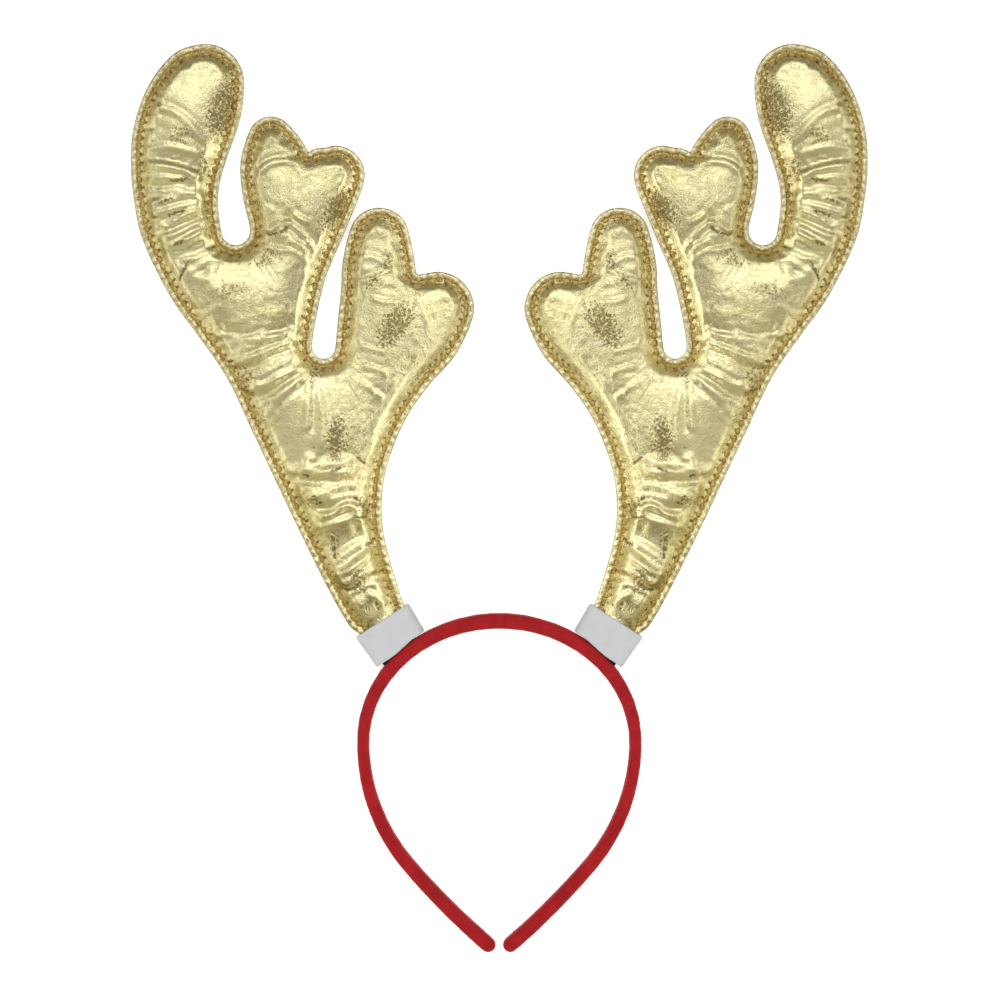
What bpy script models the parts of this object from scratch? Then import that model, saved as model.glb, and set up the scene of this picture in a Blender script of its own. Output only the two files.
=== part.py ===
"""Reindeer antler headband: two padded gold antlers in white cuffs on a red covered band.

It lies on its back on the plane z = 0, as it rests on a table. +Y runs from the band's tips over
its crown to the antlers, +X is across, and +Z is the front. All lengths are metres.
"""

import math

import bmesh
import bpy
import numpy as np
from mathutils import Vector
from mathutils.geometry import delaunay_2d_cdt

MM = 0.001

# Band, measured on its centreline from the middle of the crown to one tip
BAND_HALF_WIDTH = 57.2 * MM
CROWN_RISE = 51.0 * MM
TEMPLE_RADIUS = 79.0 * MM
TEMPLE_SWEEP = math.radians(40.5)
LEG_RADIUS = 310.0 * MM
LEG_SWEEP = math.radians(9.4)
BAND_WALL = 6.2 * MM
BAND_DEPTH = 11.0 * MM
BAND_EDGE_ROUND = 2.0 * MM
BAND_STATIONS = 30
BAND_TIP_RINGS = 3

# Padded antler, from the foot of its cuff
ANTLER_HEIGHT = 253.4 * MM
ANTLER_SPREAD = 144.9 * MM
STEM_WIDTH = 22.4 * MM
STEM_DEPTH = 9.4 * MM
STEM_SWELL = 0.3
STEM_LEAN = math.radians(33.0)
STEM_END_LIFT = 1.6 * MM
SEAM_WIDTH = 3.0 * MM
SEAM_THICKNESS = 1.8 * MM
SHOULDER = 8.0 * MM
CROWN_EASE = 12.0 * MM
CROWN_SHARE = 0.2
FRONT_CROWN = 9.4 * MM
BACK_CROWN = 7.0 * MM
FOLD_WIDTH = 5.2 * MM
FOLD_HEIGHT = 1.5 * MM
NOTCH_ROUND = 1.2 * MM

# Cuff and the black pad under its outer end
CUFF_HEIGHT = 13.6 * MM
CUFF_WALL = 1.1 * MM
CUFF_FLARE = 0.6 * MM
CUFF_SHIFT = 7.6 * MM
CUFF_CORNER = 3.4 * MM
CUFF_RIM_ROUND = 0.5 * MM
PAD_LENGTH = 13.0 * MM
PAD_DEPTH = 8.0 * MM
PAD_THICKNESS = 3.4 * MM
PAD_INSET = 3.0 * MM

# Clearances
GAP = 0.3 * MM

# Mesh fineness
FRONT_SPACING = 4.6 * MM
BACK_SPACING = 6.6 * MM
EDGE_SPACING_MIN = 2.4 * MM
EDGE_SPACING_MAX = 6.5 * MM
EDGE_TURN = math.radians(17.0)
FINE_STEP = 0.6 * MM

# Heights above the resting plane
CUFF_DEPTH = STEM_DEPTH + 2 * (GAP + CUFF_WALL)
SEAM_Z = CUFF_DEPTH / 2

# Band sections. along: share of the half band's length; wall and depth: shares of BAND_WALL and BAND_DEPTH
BAND_SECTIONS = (
    # name, along, wall, depth
    ("crown", 0.00, 1.05, 1.00),
    ("seat", 0.22, 1.00, 1.00),
    ("temple", 0.45, 0.80, 1.00),
    ("cheek", 0.65, 0.92, 0.98),
    ("leg", 0.85, 0.97, 0.95),
    ("tip", 1.00, 1.00, 0.92),
)

# Antler outline from the inner side of the stem, round the tines, to its outer side.
# out and radius: shares of ANTLER_SPREAD; up: share of ANTLER_HEIGHT; angles in degrees from outward
ANTLER_OUTLINE = (
    # name, out, up, radius, start, sweep
    ("stem inner foot", 0.000, 0.092, 0, 0, 0),
    ("stem inner low", 0.022, 0.132, 0, 0, 0),
    ("stem inner waist", 0.046, 0.188, 0, 0, 0),
    ("stem inner middle", 0.052, 0.233, 0, 0, 0),
    ("stem inner flare", 0.043, 0.285, 0, 0, 0),
    ("thumb root", 0.012, 0.341, 0, 0, 0),
    ("thumb underside low", -0.033, 0.393, 0, 0, 0),
    ("thumb underside", -0.094, 0.440, 0, 0, 0),
    ("thumb underside high", -0.162, 0.484, 0, 0, 0),
    ("thumb tip", -0.109, 0.561, 0.107, 190, -110),
    ("thumb notch", -0.052, 0.616, "notch", 0, 0),
    ("inner tine tip", 0.059, 0.678, 0.088, 175, -165),
    ("inner tine side", 0.166, 0.633, 0, 0, 0),
    ("inner tine middle", 0.169, 0.594, 0, 0, 0),
    ("inner tine foot", 0.176, 0.555, 0, 0, 0),
    ("inner valley", 0.220, 0.497, 0.034, 175, 190),
    ("middle tine foot", 0.240, 0.551, 0, 0, 0),
    ("middle tine inside", 0.212, 0.616, 0, 0, 0),
    ("middle tine inner bend", 0.159, 0.688, 0, 0, 0),
    ("middle lobe", 0.187, 0.782, 0.086, 190, -125),
    ("middle lobe brow", 0.242, 0.828, 0, 0, 0),
    ("middle notch", 0.262, 0.819, "notch", 0, 0),
    ("middle tine shoulder", 0.286, 0.842, 0, 0, 0),
    ("middle tine tip", 0.373, 0.841, 0.067, 135, -120),
    ("middle tine side", 0.458, 0.815, 0, 0, 0),
    ("middle tine waist", 0.461, 0.780, 0, 0, 0),
    ("middle tine outside", 0.450, 0.735, 0, 0, 0),
    ("outer valley", 0.475, 0.690, 0.042, 168, 196),
    ("outer tine foot", 0.527, 0.734, 0, 0, 0),
    ("outer tine inside low", 0.522, 0.767, 0, 0, 0),
    ("outer tine inside", 0.506, 0.801, 0, 0, 0),
    ("outer tine inside high", 0.462, 0.876, 0, 0, 0),
    ("outer tine tip", 0.563, 0.935, 0.113, 185, -105),
    ("outer tine crest", 0.642, 0.988, 0, 0, 0),
    ("outer tine brow", 0.692, 0.961, 0, 0, 0),
    ("outer tine back high", 0.737, 0.920, 0, 0, 0),
    ("outer tine back", 0.772, 0.857, 0, 0, 0),
    ("outer tine back middle", 0.778, 0.790, 0, 0, 0),
    ("outer tine back low", 0.769, 0.740, 0, 0, 0),
    ("palm top", 0.748, 0.681, 0, 0, 0),
    ("palm back", 0.660, 0.577, 0, 0, 0),
    ("palm back low", 0.582, 0.515, 0, 0, 0),
    ("palm foot", 0.504, 0.450, 0, 0, 0),
    ("stem outer high", 0.417, 0.346, 0, 0, 0),
    ("stem outer middle", 0.271, 0.170, 0, 0, 0),
    ("stem outer low", 0.176, 0.064, 0, 0, 0),
    ("stem outer foot", 0.139, 0.031, 0, 0, 0),
)

# Main folds, raised lines across the padding. Points as in the outline; bow and height: shares of the
# fold's length and of FOLD_HEIGHT
ANTLER_FOLDS = (
    # name, out, up, to_out, to_up, bow, height
    ("outer tine brow", 0.700, 0.868, 0.560, 0.835, 0.10, 0.5),
    ("outer tine arch", 0.735, 0.795, 0.560, 0.770, 0.12, 0.8),
    ("outer tine waist", 0.722, 0.752, 0.555, 0.748, 0.06, 1.0),
    ("outer tine low", 0.690, 0.700, 0.545, 0.722, 0.05, 1.0),
    ("outer tine foot", 0.650, 0.655, 0.535, 0.692, 0.05, 1.0),
    ("valley crease", 0.610, 0.615, 0.500, 0.650, 0.08, 0.7),
    ("middle tine cross", 0.400, 0.742, 0.290, 0.722, 0.08, 0.6),
    ("middle tine foot", 0.385, 0.682, 0.235, 0.650, 0.05, 0.6),
    ("thumb crease", 0.085, 0.606, -0.035, 0.575, 0.15, 0.6),
    ("palm high", 0.530, 0.520, 0.320, 0.557, 0.06, 1.0),
    ("palm middle", 0.485, 0.478, 0.290, 0.522, 0.06, 1.0),
    ("palm low", 0.440, 0.428, 0.280, 0.475, 0.06, 0.9),
    ("palm fan", 0.395, 0.372, 0.250, 0.450, 0.10, 0.7),
    ("stem high", 0.330, 0.290, 0.110, 0.312, 0.05, 0.9),
    ("stem upper", 0.285, 0.245, 0.090, 0.268, 0.08, 0.9),
    ("stem middle", 0.255, 0.205, 0.080, 0.232, 0.06, 0.8),
    ("stem slant", 0.215, 0.128, 0.085, 0.180, 0.06, 1.0),
    ("stem low", 0.185, 0.092, 0.055, 0.128, 0.06, 0.9),
)

GOLD = (0.80, 0.73, 0.38, 1.0)
RED = (0.38, 0.012, 0.018, 1.0)
WHITE = (0.66, 0.66, 0.68, 1.0)
BLACK = (0.010, 0.010, 0.011, 1.0)


def clear_scene():
    for obj in list(bpy.data.objects):
        bpy.data.objects.remove(obj, do_unlink=True)


def new_collection(name):
    collection = bpy.data.collections.new(name)
    bpy.context.scene.collection.children.link(collection)
    return collection


def new_material(name, colour, roughness, metallic):
    material = bpy.data.materials.new(name)
    material.use_nodes = True
    shader = material.node_tree.nodes["Principled BSDF"]
    shader.inputs["Base Color"].default_value = colour
    shader.inputs["Roughness"].default_value = roughness
    shader.inputs["Metallic"].default_value = metallic
    return material


def new_object(name, mesh_data, material, collection):
    """One named object, shaded smooth where its faces meet at less than 40 degrees."""
    mesh = bpy.data.meshes.new(name)
    mesh_data.to_mesh(mesh)
    mesh_data.free()
    mesh.shade_smooth()
    mesh.set_sharp_from_angle(angle=math.radians(40.0))
    mesh.materials.append(material)
    obj = bpy.data.objects.new(name, mesh)
    collection.objects.link(obj)
    return obj


def loft(rings):
    """A closed bmesh through rings of as many points each, with both ends capped."""
    shape = bmesh.new()
    rows = [[shape.verts.new(point) for point in ring] for ring in rings]
    count = len(rows[0])
    for low, high in zip(rows, rows[1:]):
        for i in range(count):
            j = (i + 1) % count
            shape.faces.new((low[i], low[j], high[j], high[i]))
    shape.faces.new(rows[0][::-1])
    shape.faces.new(rows[-1])
    bmesh.ops.recalc_face_normals(shape, faces=shape.faces)
    return shape


def rounded_rectangle(width, depth, radius, corner_steps):
    """Points of a rectangle centred on (0, 0), with round corners."""
    points = []
    corners = ((1, 1, 0), (-1, 1, 90), (-1, -1, 180), (1, -1, 270))
    for x_sign, y_sign, first in corners:
        centre_x = x_sign * (width / 2 - radius)
        centre_y = y_sign * (depth / 2 - radius)
        for step in range(corner_steps + 1):
            angle = math.radians(first + 90 * step / corner_steps)
            points.append((centre_x + radius * math.cos(angle), centre_y + radius * math.sin(angle)))
    return points


def band_curve():
    """Fine points of the half centreline at +X, from the crown to the tip."""
    steps = 120
    points = []
    for i in range(steps):
        turn = math.pi / 2 * i / steps
        points.append((BAND_HALF_WIDTH * math.sin(turn), CROWN_RISE * math.cos(turn)))
    for i in range(steps):
        turn = TEMPLE_SWEEP * i / steps
        points.append(
            (
                BAND_HALF_WIDTH - TEMPLE_RADIUS * (1 - math.cos(turn)),
                -TEMPLE_RADIUS * math.sin(turn),
            )
        )
    leg_x = BAND_HALF_WIDTH - TEMPLE_RADIUS * (1 - math.cos(TEMPLE_SWEEP))
    leg_y = -TEMPLE_RADIUS * math.sin(TEMPLE_SWEEP)
    for i in range(steps + 1):
        turn = TEMPLE_SWEEP + LEG_SWEEP * i / steps
        points.append(
            (
                leg_x - LEG_RADIUS * (math.cos(TEMPLE_SWEEP) - math.cos(turn)),
                leg_y - LEG_RADIUS * (math.sin(turn) - math.sin(TEMPLE_SWEEP)),
            )
        )
    return np.array(points)


def lengths_along(points):
    steps = np.hypot(*np.diff(points, axis=0).T)
    return np.concatenate(([0.0], np.cumsum(steps)))


def band_wall(share):
    """The band's wall at a share of its half length."""
    along = [row[1] for row in BAND_SECTIONS]
    return BAND_WALL * float(np.interp(share, along, [row[2] for row in BAND_SECTIONS]))


def band_depth(share):
    along = [row[1] for row in BAND_SECTIONS]
    return BAND_DEPTH * float(np.interp(share, along, [row[3] for row in BAND_SECTIONS]))


def band_stations():
    """(x, y, normal x, normal y, share, scale) from the crown to the rounded tip at +X.

    The first station lies half a step from the crown's middle, so that a flat facet spans it.
    """
    curve = band_curve()
    length = lengths_along(curve)
    total = length[-1]
    slopes = np.gradient(curve, length, axis=0)
    tangents = slopes / np.hypot(*slopes.T)[:, None]

    def station(at, scale):
        x, y = (np.interp(at, length, curve[:, k]) for k in (0, 1))
        tx, ty = (np.interp(at, length, tangents[:, k]) for k in (0, 1))
        return (x, y, -ty, tx, at / total, scale)

    step = total / (BAND_STATIONS - 0.5)
    radius = band_wall(1.0) / 2
    straight = total - radius
    stations = [station(min((i + 0.5) * step, straight), 1.0) for i in range(BAND_STATIONS - 1)]
    for i in range(BAND_TIP_RINGS + 1):
        turn = math.radians(78.0) * i / BAND_TIP_RINGS
        stations.append(station(straight + radius * math.sin(turn), math.cos(turn)))
    return stations


def band_rings(extra):
    """The band's rings from tip to tip. extra is added to the wall all round, for a cutter."""
    rings = []
    for x, y, normal_x, normal_y, share, scale in band_stations():
        wall = (band_wall(share) + 2 * extra) * scale
        depth = (band_depth(share) + 2 * extra) * (0.35 + 0.65 * scale)
        radius = min(BAND_EDGE_ROUND + extra, 0.45 * wall)
        middle = band_depth(share) / 2
        section = rounded_rectangle(wall, depth, radius, 2)
        rings.append([(x - a * normal_x, y - a * normal_y, middle + b) for a, b in section])
    mirrored = [[(-x, y, z) for x, y, z in ring] for ring in reversed(rings)]
    return mirrored + rings


class CuffFrame:
    """Where a cuff stands on the band at +X: its foot, its axis and the direction across it.

    The foot's plane touches the band, less GAP, where the band's own normal leans as the stem does.
    """

    def __init__(self):
        turn = math.atan(math.tan(STEM_LEAN) * BAND_HALF_WIDTH / CROWN_RISE)
        curve = band_curve()
        length = lengths_along(curve)
        touch = np.array((BAND_HALF_WIDTH * math.sin(turn), CROWN_RISE * math.cos(turn)))
        nearest = int(np.argmin(np.hypot(*(curve - touch).T)))
        half_wall = band_wall(length[nearest] / length[-1]) / 2
        self.axis = np.array((math.sin(STEM_LEAN), math.cos(STEM_LEAN)))
        self.across = np.array((math.cos(STEM_LEAN), -math.sin(STEM_LEAN)))
        self.foot = touch + self.axis * (half_wall + GAP) + self.across * CUFF_SHIFT

    def place(self, across, along):
        return self.foot + self.across * across + self.axis * along


def catmull_rom(points, closed):
    """A smooth line through points, with a sample every FINE_STEP or so."""
    points = np.array(points)
    count = len(points)
    samples = []
    for i in range(count if closed else count - 1):
        before = points[i - 1] if closed or i > 0 else 2 * points[i] - points[i + 1]
        start, end = points[i], points[(i + 1) % count]
        after = points[(i + 2) % count] if closed or i + 2 < count else 2 * end - start
        knots = np.cumsum(
            [0.0] + [math.sqrt(np.hypot(*(b - a))) for a, b in ((before, start), (start, end), (end, after))]
        )
        steps = max(2, round(float(np.hypot(*(end - start))) / FINE_STEP))
        t = np.linspace(knots[1], knots[2], steps, endpoint=False)[:, None]
        a1 = (knots[1] - t) / (knots[1] - knots[0]) * before + (t - knots[0]) / (knots[1] - knots[0]) * start
        a2 = (knots[2] - t) / (knots[2] - knots[1]) * start + (t - knots[1]) / (knots[2] - knots[1]) * end
        a3 = (knots[3] - t) / (knots[3] - knots[2]) * end + (t - knots[2]) / (knots[3] - knots[2]) * after
        b1 = (knots[2] - t) / (knots[2] - knots[0]) * a1 + (t - knots[0]) / (knots[2] - knots[0]) * a2
        b2 = (knots[3] - t) / (knots[3] - knots[1]) * a2 + (t - knots[1]) / (knots[3] - knots[1]) * a3
        samples.append((knots[2] - t) / (knots[2] - knots[1]) * b1 + (t - knots[1]) / (knots[2] - knots[1]) * b2)
    if not closed:
        samples.append(points[-1:])
    return np.concatenate(samples)


def round_corner(before, corner, after, radius):
    """Points of an arc of about this radius that replaces a corner between two lines."""
    to_before = (before - corner) / np.hypot(*(before - corner))
    to_after = (after - corner) / np.hypot(*(after - corner))
    start, end = corner + to_before * radius, corner + to_after * radius
    t = np.linspace(0, 1, 7)[:, None]
    return (1 - t) ** 2 * start + 2 * t * (1 - t) * corner + t**2 * end


def antler_outline(frame):
    """Fine points of one antler's outline, counterclockwise, without the last repeated."""
    size = np.array((ANTLER_SPREAD, ANTLER_HEIGHT))
    mouth = CUFF_HEIGHT + GAP
    half_stem = STEM_WIDTH / 2
    stretches = [[frame.place(-half_stem, mouth)]]
    for _, out, up, radius, start, sweep in ANTLER_OUTLINE:
        centre = frame.foot + np.array((out, up)) * size
        if radius == "notch":
            stretches[-1].append(centre)
            stretches.append([centre])
        elif radius == 0:
            stretches[-1].append(centre)
        else:
            for angle in np.radians(np.linspace(start, start + sweep, 7)):
                arm = radius * ANTLER_SPREAD * np.array((math.cos(angle), math.sin(angle)))
                stretches[-1].append(centre + arm)
    stretches[-1].append(frame.place(half_stem, mouth))
    lines = [catmull_rom(stretch, closed=False) for stretch in stretches]
    keep = round(NOTCH_ROUND / FINE_STEP)
    outline = [frame.place(-half_stem, STEM_END_LIFT)[None]]
    for i, line in enumerate(lines):
        first = keep if i else 0
        last = len(line) - keep if i + 1 < len(lines) else len(line)
        if i:
            outline.append(round_corner(lines[i - 1][-1 - keep], line[0], line[keep], NOTCH_ROUND / 2))
        outline.append(line[first:last])
    outline.append(frame.place(half_stem, STEM_END_LIFT)[None])
    outline = np.concatenate(outline)
    x, y = outline.T
    area = np.sum(x * np.roll(y, -1) - y * np.roll(x, -1))
    return outline if area > 0 else outline[::-1]


def edge_points(outline):
    """The outline thinned to steps that follow its bends, between the least and most edge spacing."""
    ahead = np.roll(outline, -1, axis=0) - outline
    step = np.hypot(*ahead.T)
    heading = np.unwrap(np.arctan2(ahead[:, 1], ahead[:, 0]))
    chosen, travelled, turned = [0], 0.0, 0.0
    for i in range(1, len(outline)):
        travelled += step[i - 1]
        turned += abs(heading[i] - heading[i - 1])
        corner = abs(heading[i] - heading[i - 1]) > math.radians(45)
        bend = turned > EDGE_TURN and travelled > EDGE_SPACING_MIN
        if corner or bend or travelled > EDGE_SPACING_MAX:
            chosen.append(i)
            travelled, turned = 0.0, 0.0
    return outline[chosen]


def distance_to(points, outline):
    """Each point's distance to the outline, and whether it lies inside."""
    points = np.atleast_2d(points)
    ends = np.roll(outline, -1, axis=0)
    best = np.full(len(points), np.inf)
    inside = np.zeros(len(points), bool)
    for a, b in zip(outline, ends):
        line = b - a
        t = np.clip(((points - a) @ line) / max(line @ line, 1e-18), 0, 1)
        best = np.minimum(best, np.hypot(*(points - a - t[:, None] * line).T))
        crosses = (a[1] > points[:, 1]) != (b[1] > points[:, 1])
        if a[1] != b[1]:
            at = a[0] + (points[:, 1] - a[1]) / (b[1] - a[1]) * line[0]
            inside ^= crosses & (points[:, 0] < at)
    return best, inside


def thin_out(candidates, kept, spacing):
    """The candidates, in their order, that lie at least spacing from those kept before them."""
    count = len(kept)
    taken = np.full((count + len(candidates), 2), np.inf)
    if count:
        taken[:count] = kept
    for point in candidates:
        offsets = taken[:count] - point
        if not count or np.min(np.einsum("ij,ij->i", offsets, offsets)) >= spacing**2:
            taken[count] = point
            count += 1
    return list(taken[len(kept):count])


def fold_line(fold, frame, count):
    """(points, taper) along a fold: a bowed line whose height falls to nothing at both ends."""
    _, out, up, to_out, to_up, bow, _ = fold
    size = np.array((ANTLER_SPREAD, ANTLER_HEIGHT))
    start = frame.foot + np.array((out, up)) * size
    end = frame.foot + np.array((to_out, to_up)) * size
    t = np.linspace(0, 1, count)[:, None]
    side = np.array((end[1] - start[1], start[0] - end[0]))
    points = start + (end - start) * t + side * bow * 4 * t * (1 - t)
    return points, np.sqrt(np.sin(np.pi * t[:, 0]))


def fold_height(points, frame):
    """How far the folds raise the padding at each point."""
    raised = np.zeros(len(points))
    for fold in ANTLER_FOLDS:
        line, taper = fold_line(fold, frame, 25)
        away = np.hypot(*(points[:, None] - line[None]).transpose(2, 0, 1))
        nearest = np.argmin(away, axis=1)
        near = np.clip(away[np.arange(len(points)), nearest] / (FOLD_WIDTH / 2), 0, 1)
        ridge = 0.5 * (1 + np.cos(np.pi * near)) * taper[nearest] * fold[-1] * FOLD_HEIGHT
        raised = np.maximum(raised, ridge)
    return raised


def mouth_row(frame, spacing):
    """Points across the stem just past the cuff's mouth, where the padding starts to swell."""
    inner_half = STEM_WIDTH / 2 - SEAM_WIDTH
    count = max(3, round(2 * inner_half / spacing) + 1)
    return [frame.place(a, CUFF_HEIGHT + 2 * GAP) for a in np.linspace(-inner_half, inner_half, count)]


def stitch_line(outline, spacing):
    """Points along the seam's inner edge, at least spacing apart."""
    ahead = np.roll(outline, -1, axis=0) - np.roll(outline, 1, axis=0)
    inward = np.stack((-ahead[:, 1], ahead[:, 0]), axis=1) / np.hypot(*ahead.T)[:, None]
    offset = outline + inward * SEAM_WIDTH
    away, inside = distance_to(offset, outline)
    return thin_out(offset[inside & (away > 0.97 * SEAM_WIDTH)], [], spacing)


def fold_rows(frame, spacing):
    """Points on each fold's top and half way down its two slopes."""
    rows = []
    for fold in ANTLER_FOLDS:
        fine, _ = fold_line(fold, frame, 25)
        line, _ = fold_line(fold, frame, max(3, round(lengths_along(fine)[-1] / spacing) + 1))
        along = np.gradient(line, axis=0)
        side = np.stack((-along[:, 1], along[:, 0]), axis=1) / np.hypot(*along.T)[:, None]
        for shift in (0.0, 0.5, -0.5):
            rows.extend(line + side * shift * FOLD_WIDTH)
    return rows


def even_field(outline, spacing):
    """A triangular field of points over the outline's box."""
    row_height = spacing * math.sqrt(3) / 2
    low, high = outline.min(axis=0), outline.max(axis=0)
    field = []
    for j in range(int((high[1] - low[1]) / row_height) + 1):
        start = low[0] + (j % 2) * spacing / 2
        for i in range(int((high[0] - low[0]) / spacing) + 1):
            field.append((start + i * spacing, low[1] + j * row_height))
    return field


def face_points(outline, edge, frame, spacing, with_folds):
    """One face's points: the edge, the cuff's mouth, the stitch line, the folds and a field between."""
    mouth = mouth_row(frame, spacing)
    kept = list(edge) + mouth
    kept += thin_out(stitch_line(outline, 0.8 * min(spacing, EDGE_SPACING_MAX)), mouth, 0.5 * SEAM_WIDTH)
    rows = fold_rows(frame, spacing) if with_folds else []
    for candidates, least in ((rows, 0.45 * FOLD_WIDTH), (even_field(outline, spacing), 0.62 * spacing)):
        candidates = np.array(candidates).reshape(-1, 2)
        away, inside = distance_to(candidates, outline)
        candidates = candidates[inside & (away > SEAM_WIDTH + 0.45 * least)]
        kept += thin_out(candidates, kept, least)
    return np.array(kept), len(mouth)


def padding_height(points, outline, frame, crown, with_folds):
    """The padding's height over the seam plane at each point: flat at the seam, crowned inside it."""
    away, _ = distance_to(points, outline)
    depth = np.clip(away - SEAM_WIDTH, 0, None)
    near = np.clip(depth / SHOULDER, 0, 1)
    shoulder = np.sqrt(1 - (1 - near) ** 2)
    plump = 1 - CROWN_SHARE * np.exp(-depth / CROWN_EASE)
    raised = fold_height(points, frame) * shoulder if with_folds else 0.0
    height = SEAM_THICKNESS / 2 + crown * shoulder * plump + raised
    along = (points - frame.foot) @ frame.axis
    past_mouth = np.clip(along - CUFF_HEIGHT - 2 * GAP, 0, None)
    return np.minimum(height, STEM_DEPTH / 2 + STEM_SWELL * past_mouth)


def antler(name, side, outline, frame, material, collection):
    """A padded antler: a crowned front with folds, a flatter back and a flat seam all round.

    side is +1 or -1, its side in X. The back lies flat on the resting plane where it reaches it.
    """
    edge = edge_points(outline)
    count = len(edge)
    rim = [(i, (i + 1) % count) for i in range(count)]
    shape = bmesh.new()
    rims = []
    for facing, crown, spacing in ((1, FRONT_CROWN, FRONT_SPACING), (-1, BACK_CROWN, BACK_SPACING)):
        points, in_mouth = face_points(outline, edge, frame, spacing, facing > 0)
        heights = padding_height(points, outline, frame, crown, facing > 0)
        levels = np.maximum(SEAM_Z + facing * heights, 0.0)
        mouth = [(i, i + 1) for i in range(count, count + in_mouth - 1)]
        flat = [Vector(point) for point in points]
        made = delaunay_2d_cdt(flat, rim + mouth, [list(range(count))], 1, 1e-7)
        sources, triangles = made[3], made[2]
        verts = {}
        for i, origin in enumerate(sources):
            x, y = points[origin[0]]
            verts[i] = shape.verts.new((side * x, y, levels[origin[0]]))
        for triangle in triangles:
            shape.faces.new([verts[i] for i in triangle])
        by_point = {origin[0]: verts[i] for i, origin in enumerate(sources)}
        rims.append([by_point[i] for i in range(count)])
    for i, j in rim:
        shape.faces.new((rims[0][i], rims[0][j], rims[1][j], rims[1][i]))
    bmesh.ops.recalc_face_normals(shape, faces=shape.faces)
    return new_object(name, shape, material, collection)


def cuff_ring(frame, side, along, width, depth, radius):
    """A rounded rectangle across a cuff's axis, at a distance along it."""
    ring = []
    for a, b in rounded_rectangle(width, depth, radius, 4):
        x, y = frame.place(a, along)
        ring.append((side * x, y, SEAM_Z + b))
    return ring


def apply_boolean(obj, cutter):
    """Cuts the cutter out of obj, keeps the result as its mesh, and removes the cutter."""
    cut = obj.modifiers.new("cut", "BOOLEAN")
    cut.operation = "DIFFERENCE"
    cut.object = cutter
    graph = bpy.context.evaluated_depsgraph_get()
    mesh = bpy.data.meshes.new_from_object(obj.evaluated_get(graph))
    obj.modifiers.remove(cut)
    obj.data = mesh
    mesh.shade_smooth()
    mesh.set_sharp_from_angle(angle=math.radians(40.0))
    bpy.data.objects.remove(cutter, do_unlink=True)


def hidden_cutter(name, shape, material, cutters):
    cutter = new_object(name, shape, material, cutters)
    cutter.hide_render = True
    cutter.display_type = "WIRE"
    return cutter


def cuff(name, side, frame, material, collection, cutters):
    """An open sleeve round the stem's foot, a little wider at its mouth, with rounded rims."""
    hole_width = STEM_WIDTH + 2 * GAP
    hole_depth = STEM_DEPTH + 2 * GAP
    rings = []
    levels = (
        # along, wall added, taken in
        (0.0, 0.0, CUFF_RIM_ROUND),
        (CUFF_RIM_ROUND, 0.0, 0.0),
        (CUFF_HEIGHT - CUFF_RIM_ROUND, CUFF_FLARE, 0.0),
        (CUFF_HEIGHT, CUFF_FLARE, CUFF_RIM_ROUND),
    )
    for along, flare, inset in levels:
        width = hole_width + 2 * (CUFF_WALL + flare - inset)
        depth = hole_depth + 2 * (CUFF_WALL - inset)
        rings.append(cuff_ring(frame, side, along, width, depth, CUFF_CORNER - inset))
    sleeve = new_object(name, loft(rings), material, collection)
    overshoot = CUFF_WALL
    hole = [
        cuff_ring(frame, side, along, hole_width, hole_depth, CUFF_CORNER - CUFF_WALL)
        for along in (-overshoot, CUFF_HEIGHT + overshoot)
    ]
    apply_boolean(sleeve, hidden_cutter(name + "_hole", loft(hole), material, cutters))
    return sleeve


def pad(name, side, frame, material, collection, cutters):
    """The black wedge between the cuff's outer end and the band, cut to the band's curve."""
    middle = (STEM_WIDTH + 2 * GAP) / 2 + CUFF_WALL - PAD_INSET - PAD_LENGTH / 2
    rings = []
    for along in (-GAP - PAD_THICKNESS, -GAP):
        ring = []
        for a, b in ((-1, -1), (1, -1), (1, 1), (-1, 1)):
            x, y = frame.place(middle + a * PAD_LENGTH / 2, along)
            ring.append((side * x, y, SEAM_Z + b * PAD_DEPTH / 2))
        rings.append(ring)
    wedge = new_object(name, loft(rings), material, collection)
    apply_boolean(wedge, hidden_cutter(name + "_seat", loft(band_rings(GAP)), material, cutters))
    return wedge


def move_to_origin(parts, root):
    """Parents the parts to root and moves it, so that the origin is at the bottom centre of their box."""
    corners = [vert.co for part in parts for vert in part.data.vertices]
    low_y = min(corner.y for corner in corners)
    high_y = max(corner.y for corner in corners)
    for part in parts:
        part.parent = root
    root.location = (0.0, -(low_y + high_y) / 2, 0.0)


def main():
    clear_scene()
    collection = new_collection("reindeer_antler_headband")
    cutters = new_collection("cutters")
    gold = new_material("gold_foil_fabric", GOLD, 0.28, 1.0)
    red = new_material("red_velour", RED, 0.85, 0.0)
    white = new_material("white_sleeve", WHITE, 0.55, 0.0)
    black = new_material("black_pad", BLACK, 0.7, 0.0)
    frame = CuffFrame()
    outline = antler_outline(frame)
    parts = [new_object("headband", loft(band_rings(0.0)), red, collection)]
    for word, side in (("left", -1), ("right", 1)):
        parts.append(cuff(word + "_cuff", side, frame, white, collection, cutters))
        parts.append(pad(word + "_pad", side, frame, black, collection, cutters))
        parts.append(antler(word + "_antler", side, outline, frame, gold, collection))
    root = bpy.data.objects.new("origin", None)
    collection.objects.link(root)
    move_to_origin(parts, root)


main()
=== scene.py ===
"""Looks of the antler headband: foil antlers, velour band, cuffs, pads, floor, lights and camera."""

import math

import bmesh
import bpy
import numpy as np
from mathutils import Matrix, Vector, noise
from mathutils.bvhtree import BVHTree
from mathutils.geometry import delaunay_2d_cdt


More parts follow.
